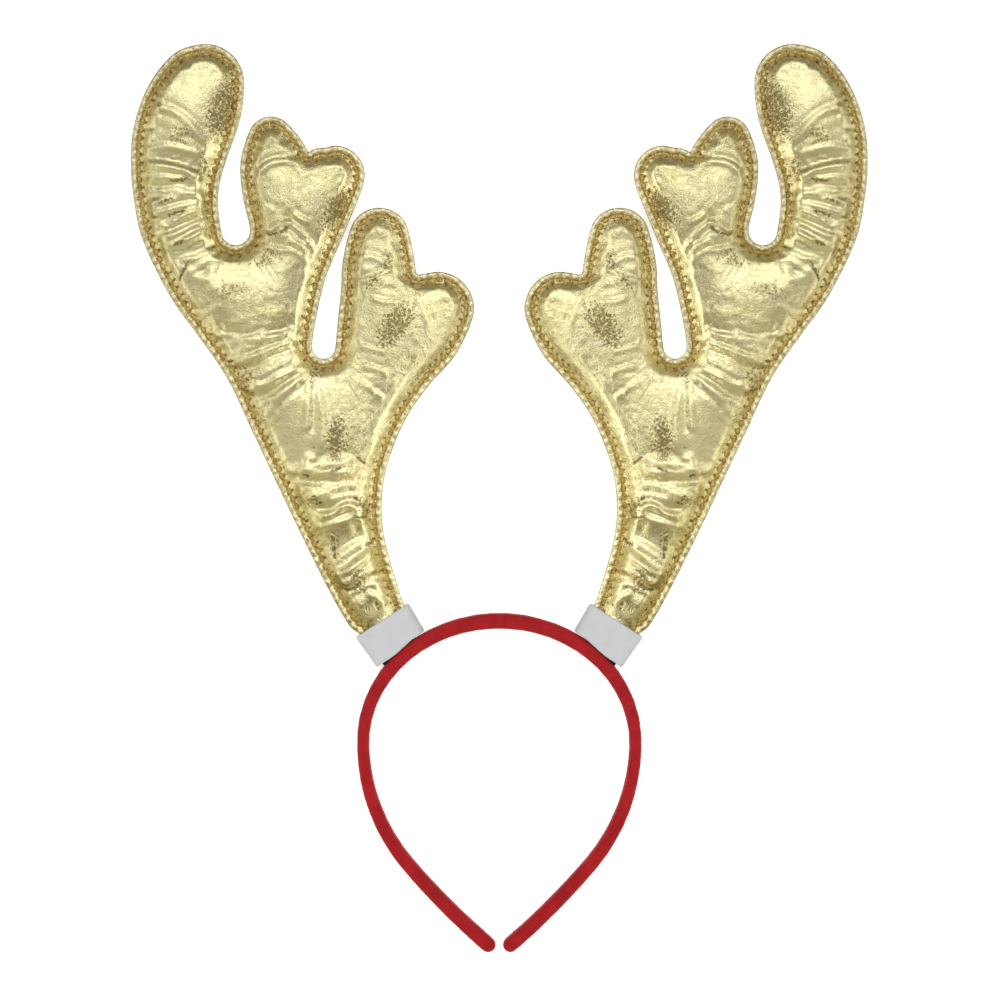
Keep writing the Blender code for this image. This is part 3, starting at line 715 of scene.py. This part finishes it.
def tilted_box(points):
    """The turned rectangle of least area round points: its middle, its way up, and its half sizes."""
    best = None
    for degrees in np.arange(-45.0, 45.0, TILT_STEP):
        turn = math.radians(degrees)
        up = np.array((math.sin(turn), math.cos(turn)))
        right = np.array((up[1], -up[0]))
        u, v = points @ right, points @ up
        area = np.ptp(u) * np.ptp(v)
        if best is None or area < best[0]:
            middle = right * (u.min() + u.max()) / 2 + up * (v.min() + v.max()) / 2
            best = area, middle, up, np.ptp(u) / 2, np.ptp(v) / 2
    return best[1:]


def cuff_box(frame, word):
    """The tilted box of a CAD cuff in XY."""
    return tilted_box(np.array([v.co[:2] for v in frame["nodes"][f"{word}_cuff"].data.vertices]))


def past_mouth(points, box):
    """How far each point lies along the antler from the mouth of the cuff with that tilted box."""
    middle, up, _, half = box
    return (points - middle) @ up - half


def sewn_cloth(cad_node, seam_z):
    """The front cloth before its relief, with its faces, the stitch line and the outline's nearest places."""
    shape = merged_mesh(cad_node)
    outline = smooth_loop(rim_loop(shape, seam_z), EDGE_STEP)
    line, nearest = stitch_line(outline)
    field = hex_field(line[::2], CLOTH_STEP, FIELD_MARGIN * CLOTH_STEP)
    points, faces = panel_faces(line[::2], field)
    pinned = len(line) // 2
    heights = node_heights(BVHTree.FromBMesh(shape), points, seam_z)
    heights[:pinned] = GROOVE_HEIGHT
    cloth = np.column_stack((points, heights))
    cloth = simulate_panel(points, faces, heights, pinned)
    return cloth, faces, line, nearest


def padded_heights(cloth, edges, line, box):
    """How high the front and how deep the back stand from the seam plane: padding, puckers and a low foot."""
    pinned = len(line) // 2
    _, from_seam, _, _ = nearest_on_loop(cloth[:, :2], line[::2])
    puckers = cloth[:, 2] - evened(cloth[:, 2], edges, pinned, BASE_ROUNDS)
    puckers *= PUCKERS * smooth_step(from_seam, *PUCKERS_FROM_SEAM)
    past = past_mouth(cloth[:, :2], box)
    kept = FOOT_PUCKERS + (1 - FOOT_PUCKERS) * smooth_step(past, *PUCKERS_RAMP)
    swell = 1 + STEM_SWELL * (1 - smooth_step(past, *SWELL_RAMP))
    base = GROOVE_HEIGHT + (crowned(edges, pinned, CLOTH_STEP) - GROOVE_HEIGHT) * swell
    foot = GROOVE_HEIGHT + FOOT_RISE * (1 - np.exp(-from_seam / FOOT_SHOULDER))
    gathered = 1 - smooth_step(past, *GATHER_RAMP)
    room = FOOT_TOP + FOOT_ROOM * smooth_step(past, *ROOM_RAMP)
    front = soft_top(base + (foot - base) * gathered + puckers * kept, room, FOOT_SHARPNESS)
    back = soft_top(BACK_SHARE * base + PUCKERS_BACK * puckers * kept, BACK_TOP, BACK_SHARPNESS)
    return front, soft_top(back + (foot - back) * gathered, room, FOOT_SHARPNESS)


def quartered(points, faces, line):
    """Each face cut in four, with the stitch line's points first, in its order and at its places."""
    edges, sides = face_edges(faces)
    fine = np.concatenate((points, points[edges].mean(axis=1)))
    first, second, third = faces.T
    ab, bc, ca = sides + len(points)
    quarters = ((first, ab, ca), (ab, second, bc), (ca, bc, third), (ab, bc, ca))
    fine_faces = np.concatenate([np.stack(corners, axis=1) for corners in quarters])
    pinned = len(line) // 2
    middles = {tuple(edge): len(points) + i for i, edge in enumerate(edges.tolist())}
    rim = np.empty(len(line), int)
    rim[::2] = np.arange(pinned)
    rim[1::2] = [middles[tuple(sorted((i, (i + 1) % pinned)))] for i in range(pinned)]
    fine[rim, :2] = line
    fine[rim, 2:] = GROOVE_HEIGHT
    order = np.concatenate((rim, np.setdiff1d(np.arange(len(fine)), rim)))
    return fine[order], np.argsort(order)[fine_faces]


def add_relief(fine, line, box, seam_z):
    """Folds, creases and crimps put on the heights. Returns what the foil's material reads."""
    _, away, _, place = nearest_on_loop(fine[:, :2], line)
    away[: len(line)] = 0.0
    outside = smooth_step(past_mouth(fine[:, :2], box), *RELIEF_RAMP)
    relief = np.zeros(len(fine))
    for path, width, height in FOLDS:
        relief += fold_relief(fine[:, :2], path, width * FOLD_SPREAD * MM, height * FOLD_SCALE * MM)
    creases = crease_strength(fine[:, :2])
    relief -= CREASE_DEPTH * creases
    relief *= smooth_step(away, 0.0, RELIEF_START)
    crimps = seam_crimps(place, away)
    relief += crimps + crinkle(fine[:, :2], away)
    fine[:, 2] = np.maximum(fine[:, 2] + relief * outside, GROOVE_HEIGHT)
    fine[:, 3] = np.clip(fine[:, 3] + BACK_CRIMP * crimps * outside, GROOVE_HEIGHT, seam_z - BACK_GAP)
    # Nearness to the stitches: how much amber painted shade the foil gets beside the seam
    near_seam = np.clip(1 - away / GROOVE_WIDTH, 0, 1)
    # Where painted shade specks the foil dark: creased patches, ticks by the stitches and sharp creases
    creased = np.maximum.reduce((patch_strength(fine[:, :2]), seam_ticks(place, away), creases))
    return {"near_seam": near_seam, "creased": creased}


def antler_panel(cad_node, seam_z, box):
    """The right antler's cloth: points with x, y, front and back height, faces, attributes and seam lines."""
    cloth, faces, line, nearest = sewn_cloth(cad_node, seam_z)
    edges, _ = face_edges(faces)
    front, back = padded_heights(cloth, edges, line, box)
    fine, fine_faces = quartered(np.column_stack((cloth[:, :2], front, back)), faces, line)
    fine_edges, _ = face_edges(fine_faces)
    for column in fine.T:
        column[:] = evened(column, fine_edges, len(line), 1) * 0.5 + column * 0.5
    painted = add_relief(fine, line, box, seam_z)
    return fine, fine_faces, painted, line, nearest


def seam_height(share, run):
    """The rolled seam's height over the seam plane, drawn in a little at each stitch."""
    shares, heights = np.array(SEAM_PROFILE).T
    even = np.interp(share, np.append(shares, 1.0), np.append(heights * MM, GROOVE_HEIGHT))
    return even * (1 + SEAM_SWELL * np.cos(2 * np.pi * run / STITCH_PITCH) * np.sin(np.pi * share))


def seam_rows(line, nearest, seam_z):
    """The rolled seam's rows of points from the stitches outward: upper rows, lower rows and the edge."""
    count = len(line)
    length = count * STITCH_STEP
    run = np.arange(count) * STITCH_STEP
    run = run * (STITCH_PITCH * round(length / STITCH_PITCH)) / length
    rows = []
    for up in (1, -1):
        for share, _ in reversed(SEAM_PROFILE[1:]):
            place = nearest + (line - nearest) * share
            roll = RIM_ROLL * perlin([run], 5 * MM, seed=6.6)
            wrinkle = RIM_WRINKLE * perlin([run], 1.7 * MM, seed=9.0 + 2 * share)
            height = seam_height(share, run) * (1 + (roll + wrinkle))
            rows.append(np.column_stack((place, seam_z + up * height)))
    rows.append(np.column_stack((nearest, np.full(count, seam_z))))
    return rows


def seam_faces(count, panel_points):
    """The faces between the seam's rows, upper side then lower, and the material slot of each."""
    row = np.arange(count)
    on_a_side = len(SEAM_PROFILE) - 1
    first_row = row + 2 * panel_points
    edge = first_row + 2 * on_a_side * count
    faces, slots = [], []
    for side in (0, 1):
        chain = [row + side * panel_points]
        chain += [first_row + (side * on_a_side + k) * count for k in range(on_a_side)]
        chain.append(edge)
        for k, (inner, outer) in enumerate(zip(chain, chain[1:])):
            corners = [inner, np.roll(inner, -1), np.roll(outer, -1), outer]
            if side == 0:
                corners.reverse()
            faces.append(np.stack(corners, axis=1))
            slots.append(np.full(count, GROOVE_SLOT if k == 0 else RIM_SLOT))
    return np.concatenate(faces), np.concatenate(slots)


def mirrored_mesh(name, side, points, faces):
    """A smooth mesh of the right antler's points and faces, or with side -1 its mirror image."""
    mesh = bpy.data.meshes.new(name)
    if side < 0:
        faces = [face[::-1] for face in faces]
    mesh.from_pydata((np.concatenate(points) * (side, 1, 1)).tolist(), [], faces)
    shade_smooth(mesh)
    return mesh


def antler_mesh(name, side, panel, seam_z):
    """The closed foil skin: front, rolled seam and back."""
    fine, faces, painted, line, nearest = panel
    front = np.column_stack((fine[:, :2], seam_z + fine[:, 2]))
    back = np.column_stack((fine[:, :2], seam_z - fine[:, 3]))
    around, slots = seam_faces(len(line), len(fine))
    all_faces = faces.tolist() + (faces + len(fine))[:, ::-1].tolist() + around.tolist()
    mesh = mirrored_mesh(name, side, [front, back] + seam_rows(line, nearest, seam_z), all_faces)
    all_slots = np.concatenate((np.zeros(2 * len(faces), int), slots))
    mesh.polygons.foreach_set("material_index", all_slots.astype(np.int32))
    for attribute, values in painted.items():
        everywhere = np.zeros(len(mesh.vertices), np.float32)
        everywhere[: 2 * len(fine)] = np.tile(values, 2)
        mesh.attributes.new(attribute, "FLOAT", "POINT").data.foreach_set("value", everywhere)
    mesh.update()
    return mesh


def stitch_rings(line, nearest, at, up, seam_z):
    """The rings of points along one stitch, an arched bar of thread in the groove."""
    count = len(line)
    along = np.linspace(-1, 1, STITCH_RINGS)
    spots = at + np.linspace(-0.5, 0.5, STITCH_RINGS) * STITCH_LENGTH / STITCH_STEP
    index = np.floor(spots).astype(int)
    part = (spots - index)[:, None]
    run = line[index % count] * (1 - part) + line[(index + 1) % count] * part
    run = run + (nearest[index % count] - run) * STITCH_SHIFT
    arch = np.sqrt(np.clip(1 - along**2, 0.0, 1))
    height = seam_z + up * (GROOVE_HEIGHT + STITCH_LIFT + STITCH_RISE * arch)
    ahead = np.gradient(run, axis=0)
    ahead /= np.hypot(*ahead.T)[:, None]
    sideways = np.column_stack((-ahead[:, 1], ahead[:, 0]))
    thick = STITCH_RADIUS * np.interp(along, *zip(*STITCH_TAPER))
    turn = np.arange(STITCH_SIDES) * math.pi / (STITCH_SIDES / 2)
    rings = []
    for middle, z, across, radius in zip(run, height, sideways, thick):
        ring = middle + np.cos(turn)[:, None] * across * radius
        rings.append(np.column_stack((ring, z + np.sin(turn) * radius)))
    return rings


def bar_faces(first):
    """The faces of one stitch whose first point has that number."""
    around = range(STITCH_SIDES)
    last = first + STITCH_SIDES * (STITCH_RINGS - 1)
    faces = []
    for ring in range(first, last, STITCH_SIDES):
        for j in around:
            a, b = ring + j, ring + (j + 1) % STITCH_SIDES
            faces.append([a, b, b + STITCH_SIDES, a + STITCH_SIDES])
    faces.append([first + j for j in around][::-1])
    faces.append([last + j for j in around])
    return faces


def stitches_mesh(name, side, panel, seam_z):
    """One small bar of thread for each stitch, front and back."""
    _, _, _, line, nearest = panel
    count = len(line)
    stitches = round(count * STITCH_STEP / STITCH_PITCH)
    rings, faces = [], []
    for up in (1, -1):
        for k in range(stitches):
            faces += bar_faces(STITCH_SIDES * len(rings))
            rings += stitch_rings(line, nearest, k * count / stitches, up, seam_z)
    mesh = mirrored_mesh(name, side, rings, faces)
    mesh.update()
    return mesh


def refined(name, cad_node, voxel, rounds):
    """A CAD node's form rebuilt in fine even faces, its edges softened."""
    mesh = bpy.data.meshes.new(name)
    shape = merged_mesh(cad_node)
    shape.to_mesh(mesh)
    shape.free()
    draft = new_object(name + "_draft", mesh)
    remesh = draft.modifiers.new("even", "REMESH")
    remesh.mode = "VOXEL"
    remesh.voxel_size = voxel
    soften = draft.modifiers.new("soften", "SMOOTH")
    soften.factor = 0.5
    soften.iterations = rounds
    graph = bpy.context.evaluated_depsgraph_get()
    made = bpy.data.meshes.new_from_object(draft.evaluated_get(graph))
    made.name = name
    made.materials.clear()
    bpy.data.objects.remove(draft)
    shade_smooth(made)
    return new_object(name, made)


def roughen(obj, feature, height, seed):
    """Uneven nap: every point moves along its normal by seeded noise, none below the floor."""
    mesh = obj.data
    for vert, normal in zip(mesh.vertices, [v.normal.copy() for v in mesh.vertices]):
        vert.co += normal * height * noise.noise(vert.co / feature + Vector((seed, seed, seed)))
        vert.co.z = max(vert.co.z, 0.0)
    mesh.update()


def material(name, colour, roughness, metallic=0.0):
    made = bpy.data.materials.new(name)
    made.use_nodes = True
    shader = made.node_tree.nodes["Principled BSDF"]
    set_values(shader, Base_Color=(*colour, 1), Roughness=roughness, Metallic=metallic)
    return made, made.node_tree, shader


def set_values(made, **values):
    """Each value sets the node's property of that name, or else its input of that name."""
    for key, value in values.items():
        if hasattr(made, key):
            setattr(made, key, value)
        else:
            made.inputs[key.replace("_", " ")].default_value = value
    return made


def node(tree, kind, **values):
    return set_values(tree.nodes.new(kind), **values)


def fed_node(tree, kind, source, socket, **values):
    """A shader node with one of its sockets linked to the source."""
    made = node(tree, kind, **values)
    tree.links.new(source, made.inputs[socket])
    return made


def mirrored_place(tree):
    """Object coordinates in millimetres, the same on both sides of the middle."""
    place = node(tree, "ShaderNodeTexCoord").outputs["Object"]
    apart = fed_node(tree, "ShaderNodeSeparateXYZ", place, 0)
    positive = math_of(tree, "ABSOLUTE", apart.outputs["X"])
    together = fed_node(tree, "ShaderNodeCombineXYZ", positive, "X")
    tree.links.new(apart.outputs["Y"], together.inputs["Y"])
    tree.links.new(apart.outputs["Z"], together.inputs["Z"])
    scale = fed_node(tree, "ShaderNodeVectorMath", together.outputs[0], 0, operation="SCALE", Scale=1 / MM)
    return scale.outputs[0]


def noise_of(tree, place, size, detail=3.0, roughness=0.55, distortion=0.0):
    """Noise with bumps of that size in millimetres."""
    values = {"Scale": 1 / size, "Detail": detail, "Roughness": roughness, "Distortion": distortion}
    return fed_node(tree, "ShaderNodeTexNoise", place, "Vector", **values).outputs["Fac"]


def ramp(tree, source, stops):
    """A colour ramp. A stop's colour may be one number, for a grey."""
    made = fed_node(tree, "ShaderNodeValToRGB", source, 0)
    elements = made.color_ramp.elements
    while len(elements) < len(stops):
        elements.new(0.5)
    for element, (at, tone) in zip(elements, stops):
        element.position = at
        element.color = (*tone, 1) if isinstance(tone, tuple) else (tone, tone, tone, 1)
    return made.outputs[0]


def math_of(tree, operation, *terms):
    made = node(tree, "ShaderNodeMath", operation=operation)
    for k, term in enumerate(terms):
        if isinstance(term, (int, float)):
            made.inputs[k].default_value = term
        else:
            tree.links.new(term, made.inputs[k])
    return made.outputs[0]


def surface(tree, shader, colour, height, depth, strength=1.0):
    """Gives a shader its colour and a bump of that depth."""
    tree.links.new(colour, shader.inputs["Base Color"])
    bump = fed_node(tree, "ShaderNodeBump", height, "Height", Distance=depth, Strength=strength)
    tree.links.new(bump.outputs[0], shader.inputs["Normal"])


def painted_light_by_height(tree, place, colour):
    """Painted light: a colour made brighter towards the antler's foot and a little darker from the palm up.
    """
    up = fed_node(tree, "ShaderNodeSeparateXYZ", place, 0).outputs["Y"]
    level = fed_node(tree, "ShaderNodeMapRange", up, "Value", To_Min=FOIL_PAINTED_LIGHT[0], To_Max=FOIL_PAINTED_LIGHT[1])
    set_values(level, From_Min=FOIL_PAINTED_LIGHT_AT[0], From_Max=FOIL_PAINTED_LIGHT_AT[1])
    scaled = fed_node(tree, "ShaderNodeVectorMath", colour, 0, operation="SCALE")
    tree.links.new(level.outputs[0], scaled.inputs["Scale"])
    return scaled.outputs[0]


def shade_mixed(tree, colour, shade_colour, share):
    """A colour mixed towards a painted shade colour by the share given."""
    mixed = fed_node(tree, "ShaderNodeMixRGB", colour, "Color1", Color2=(*shade_colour, 1))
    tree.links.new(share, mixed.inputs["Fac"])
    return mixed.outputs["Color"]


def foil_material(name, pale, deep, mottle, roughness, grain_share, panel=False):
    """Metallised cloth: gold with slight tone changes, painted light by height and a fine grain; on the
    panel, crackle and painted shade by the stitches and in the creases.
    """
    made, tree, shader = material(name, pale, roughness, metallic=1.0)
    place = mirrored_place(tree)
    tone = noise_of(tree, place, size=mottle, detail=2.0)
    # Painted light: the foil's colour brighter towards the foot
    colour = painted_light_by_height(tree, place, ramp(tree, tone, ((0.34, deep), (0.60, pale))))
    grain = noise_of(tree, place, size=0.9, detail=4.0, roughness=0.62, distortion=0.4)
    height = math_of(tree, "MULTIPLY", grain, grain_share)
    if panel:
        creased = node(tree, "ShaderNodeAttribute", attribute_name="creased").outputs["Fac"]
        colour = panel_painted_shade(tree, place, colour, creased)
        height = panel_crackle(tree, place, height, creased)
    surface(tree, shader, colour, height, FOIL_RELIEF if panel else RIM_RELIEF)
    return made


def panel_painted_shade(tree, place, colour, creased):
    """The panel's colour with painted shade: amber beside the stitches and dark specks in the creased places.
    """
    near = node(tree, "ShaderNodeAttribute", attribute_name="near_seam").outputs["Fac"]
    # Painted shade: amber beside the stitches, in the seam's groove
    colour = shade_mixed(tree, colour, GROOVE_SHADE_PALE, ramp(tree, near, SEAM_PAINTED_SHADE))
    # Painted shade: dark specks in the creased places
    shade_specks = noise_of(tree, place, size=1.15, detail=4.0, roughness=0.68, distortion=0.7)
    level = math_of(tree, "MULTIPLY_ADD", creased, CREASE_SHADE_GAIN, shade_specks)
    return shade_mixed(tree, colour, CREASE_SHADE, ramp(tree, level, CREASE_SHADE_SHARE))


def panel_crackle(tree, place, height, creased):
    """The panel's grain with fine ridges added, in patches and in the creased places."""
    crackle = noise_of(tree, place, size=2.8, detail=4.0, roughness=0.6, distortion=1.0)
    ridged = math_of(tree, "ABSOLUTE", math_of(tree, "SUBTRACT", crackle, 0.5))
    patches = ramp(tree, noise_of(tree, place, size=17.0, detail=2.0), CRACKLE_PATCHES)
    share = math_of(tree, "MAXIMUM", patches, math_of(tree, "MULTIPLY", creased, CRACKLE_GAIN))
    return math_of(tree, "MULTIPLY_ADD", math_of(tree, "MULTIPLY", share, ridged), CRACKLE, height)


def thread_material():
    """Amber thread with a fine twist, worn pale in places."""
    made, tree, shader = material("amber_thread", THREAD, 0.38, metallic=0.5)
    place = mirrored_place(tree)
    twist = noise_of(tree, place, size=0.35, detail=2.0)
    wear = noise_of(tree, place, size=2.4, detail=3.0, roughness=0.6)
    tone = math_of(tree, "MULTIPLY_ADD", twist, 0.35, math_of(tree, "MULTIPLY", wear, 0.65))
    stops = ((0.36, THREAD_DEEP), (0.50, THREAD), (0.62, THREAD_PALE))
    surface(tree, shader, ramp(tree, tone, stops), twist, 0.05 * MM)
    return made


def velour_material():
    """Dense short pile: matt red with a soft sheen, mottled where the pile leans."""
    made, tree, shader = material("red_velour", BAND_RED, 0.95)
    place = mirrored_place(tree)
    lean = noise_of(tree, place, size=7.0)
    pile = noise_of(tree, place, size=0.45, roughness=0.7)
    both = math_of(tree, "MULTIPLY_ADD", lean, 0.55, math_of(tree, "MULTIPLY", pile, 0.45))
    dark = tuple(0.80 * c for c in BAND_RED)
    light = tuple(1.16 * c for c in BAND_RED)
    set_values(shader, Sheen_Weight=0.25, Sheen_Roughness=0.45, Sheen_Tint=(*SHEEN, 1))
    set_values(shader, Specular_IOR_Level=0.15)
    surface(tree, shader, ramp(tree, both, ((0.36, dark), (0.62, light))), pile, 0.10 * MM, strength=0.7)
    return made


def cuff_material():
    """Fine white webbing with a soft surface."""
    made, tree, shader = material("cuff_white", CUFF_WHITE, 0.62)
    place = mirrored_place(tree)
    tone = noise_of(tree, place, size=6.0, detail=2.0)
    dark = tuple(0.975 * c for c in CUFF_WHITE)
    light = tuple(1.02 * c for c in CUFF_WHITE)
    colour = ramp(tree, tone, ((0.35, dark), (0.65, light)))
    waves = []
    for direction in ("X", "Y"):
        values = {"bands_direction": direction, "Scale": 0.45, "Distortion": 0.6}
        waves.append(fed_node(tree, "ShaderNodeTexWave", place, "Vector", **values).outputs["Fac"])
    height = math_of(tree, "ADD", math_of(tree, "MULTIPLY", *waves), noise_of(tree, place, size=0.8))
    set_values(shader, Specular_IOR_Level=0.3)
    surface(tree, shader, colour, height, 0.03 * MM, strength=0.6)
    return made


def pad_material():
    """Matt black felt."""
    made, tree, shader = material("pad_black", PAD_BLACK, 0.7)
    grain = noise_of(tree, mirrored_place(tree), size=0.7)
    set_values(shader, Specular_IOR_Level=0.15)
    surface(tree, shader, ramp(tree, grain, ((0.35, PAD_DEEP), (0.65, PAD_BLACK))), grain, 0.08 * MM)
    return made


def floor_material():
    """A white studio floor with the faintest mottling."""
    made, tree, shader = material("floor_white", (0.95, 0.95, 0.95), 0.9)
    place = node(tree, "ShaderNodeTexCoord").outputs["Object"]
    mottle = fed_node(tree, "ShaderNodeTexNoise", place, "Vector", Scale=3.0).outputs["Fac"]
    tone = ramp(tree, mottle, ((0.3, 0.94), (0.7, 0.96)))
    tree.links.new(tone, shader.inputs["Base Color"])
    set_values(shader, Specular_IOR_Level=0.1, Emission_Color=(1, 1, 1, 1), Emission_Strength=FLOOR_GLOW)
    return made


def world_light():
    """The studio's surroundings as the foil shows them: a bright spot above, dim and warm lower down."""
    world = bpy.data.worlds.new("studio")
    world.use_nodes = True
    bpy.context.scene.world = world
    tree = world.node_tree
    tilt = math.radians(SKY_TILT)
    place = node(tree, "ShaderNodeTexCoord").outputs["Generated"]
    toward = fed_node(tree, "ShaderNodeVectorMath", place, 0, operation="DOT_PRODUCT")
    toward.inputs[1].default_value = (0, math.sin(tilt), math.cos(tilt))
    share = math_of(tree, "MULTIPLY_ADD", toward.outputs["Value"], 0.5, 0.5)
    colour = ramp(tree, share, [(0.5 + 0.5 * cosine, tone) for cosine, tone in SKY])
    tree.links.new(colour, tree.nodes["Background"].inputs["Color"])
    tree.nodes["Background"].inputs["Strength"].default_value = 1.0


def area_light(name, place, aim, size, power, in_foil=True):
    """A light that either shows in the foil or falls on matt things, and that the camera doesn't see."""
    light = bpy.data.lights.new(name, "AREA")
    light.shape = "RECTANGLE"
    light.size, light.size_y = size
    light.energy = power
    obj = bpy.data.objects.new(name, light)
    bpy.context.scene.collection.objects.link(obj)
    obj.location = place
    obj.rotation_euler = (Vector(aim) - Vector(place)).to_track_quat("-Z", "Y").to_euler()
    obj.visible_camera = False
    obj.visible_glossy = in_foil
    obj.visible_diffuse = not in_foil


def add_lights():
    world_light()
    area_light("overhead", *OVERHEAD, in_foil=False)
    area_light("back_wing", *BACK_WING)
    for side, word in ((1, "right"), (-1, "left")):
        for name, (place, aim, size, power) in SIDE_LIGHTS.items():
            place, aim = [(side * x, y, z) for x, y, z in (place, aim)]
            area_light(f"{name}_{word}", place, aim, size, power)


def add_camera():
    """A long lens straight above, which is the photo's angle to the headband."""
    camera = bpy.data.cameras.new("camera")
    camera.lens = LENS
    camera.sensor_width = SENSOR
    camera.clip_start, camera.clip_end = 0.01, 100
    obj = bpy.data.objects.new("camera", camera)
    bpy.context.scene.collection.objects.link(obj)
    obj.location = (*PICTURE_MIDDLE, OBJECT_LEVEL + PICTURE_WIDTH * LENS / SENSOR)
    bpy.context.scene.camera = obj


def add_floor():
    """The floor isn't seen in the foil, which gives the antlers the darker outline of the photo."""
    mesh = bpy.data.meshes.new("floor")
    corners = [(x * FLOOR_HALF, y * FLOOR_HALF, 0) for x, y in ((-1, -1), (1, -1), (1, 1), (-1, 1))]
    mesh.from_pydata(corners, [], [[0, 1, 2, 3]])
    floor = new_object("floor", mesh)
    floor.data.materials.append(floor_material())
    floor.visible_glossy = False


def build_antlers(frame):
    low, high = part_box("right_cuff")
    seam_z = (low.z + high.z) / 2
    panel = antler_panel(frame["nodes"]["right_antler"], seam_z, cuff_box(frame, "right"))
    foil = foil_material("gold_foil", FOIL_PALE, FOIL_DEEP, 14.0, 0.18, 0.42, panel=True)
    # The rim's fine mottle stands for painted speckle of highlight and shade
    rim = foil_material("gold_rim", RIM_PALE, RIM_DEEP, 1.3, 0.26, 1.3)
    # The groove's amber tones are painted shade in the seam's groove
    groove = foil_material("gold_groove_shade", GROOVE_SHADE_PALE, GROOVE_SHADE_DEEP, 1.6, 0.42, 0.8)
    thread = thread_material()
    for side, word in ((1, "right"), (-1, "left")):
        name = f"antler_{word}_cloth"
        cloth = new_object(name, antler_mesh(name, side, panel, seam_z))
        for made in (foil, rim, groove):
            cloth.data.materials.append(made)
        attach(cloth, "root")
        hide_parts(f"{word}_antler")
        name = f"antler_{word}_stitches"
        stitches = new_object(name, stitches_mesh(name, side, panel, seam_z))
        stitches.data.materials.append(thread)
        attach(stitches, "root")


def build_band(frame):
    band = refined("band_cover", frame["nodes"]["headband"], voxel=0.6 * MM, rounds=4)
    roughen(band, feature=0.9 * MM, height=0.10 * MM, seed=3.0)
    roughen(band, feature=6.0 * MM, height=0.10 * MM, seed=5.0)
    band.data.materials.append(velour_material())
    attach(band, "root")
    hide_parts("headband")


def lower_hem(cuff, box, side):
    """The sleeve's outer lower corner drawn down a little beside the band."""
    middle, up, across, half = box
    right = np.array((up[1], -up[0]))
    for vert in cuff.data.vertices:
        place = np.array(vert.co[:2]) - middle
        down = -(place @ up) / half
        out = side * (place @ right) / across
        drop = HEM_DROP * float(smooth_step(down, *HEM_DOWN)) * float(smooth_step(out, *HEM_ACROSS))
        vert.co.x -= drop * up[0]
        vert.co.y -= drop * up[1]


def build_cuffs_and_pads(frame):
    white, black = cuff_material(), pad_material()
    for side, word in ((-1, "left"), (1, "right")):
        cuff = refined(f"cuff_{word}_sleeve", frame["nodes"][f"{word}_cuff"], voxel=0.35 * MM, rounds=8)
        lower_hem(cuff, cuff_box(frame, word), side)
        roughen(cuff, feature=3.0 * MM, height=0.04 * MM, seed=2.0)
        cuff.data.materials.append(white)
        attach(cuff, "root")
        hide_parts(f"{word}_cuff")
        pad = refined(f"pad_{word}_strip", frame["nodes"][f"{word}_pad"], voxel=0.3 * MM, rounds=2)
        roughen(pad, feature=0.8 * MM, height=0.12 * MM, seed=4.0)
        pad.data.materials.append(black)
        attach(pad, "root")
        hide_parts(f"{word}_pad")


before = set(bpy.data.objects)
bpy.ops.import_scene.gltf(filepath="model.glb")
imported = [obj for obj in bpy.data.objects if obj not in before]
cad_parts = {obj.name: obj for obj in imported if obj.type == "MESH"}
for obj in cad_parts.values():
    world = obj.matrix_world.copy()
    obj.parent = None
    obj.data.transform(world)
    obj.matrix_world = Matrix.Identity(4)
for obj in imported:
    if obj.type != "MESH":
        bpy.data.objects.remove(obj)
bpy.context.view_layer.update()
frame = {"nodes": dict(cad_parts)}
bpy.context.scene.view_settings.view_transform = "Standard"
build_antlers(frame)
build_band(frame)
build_cuffs_and_pads(frame)
add_floor()
add_lights()
add_camera()
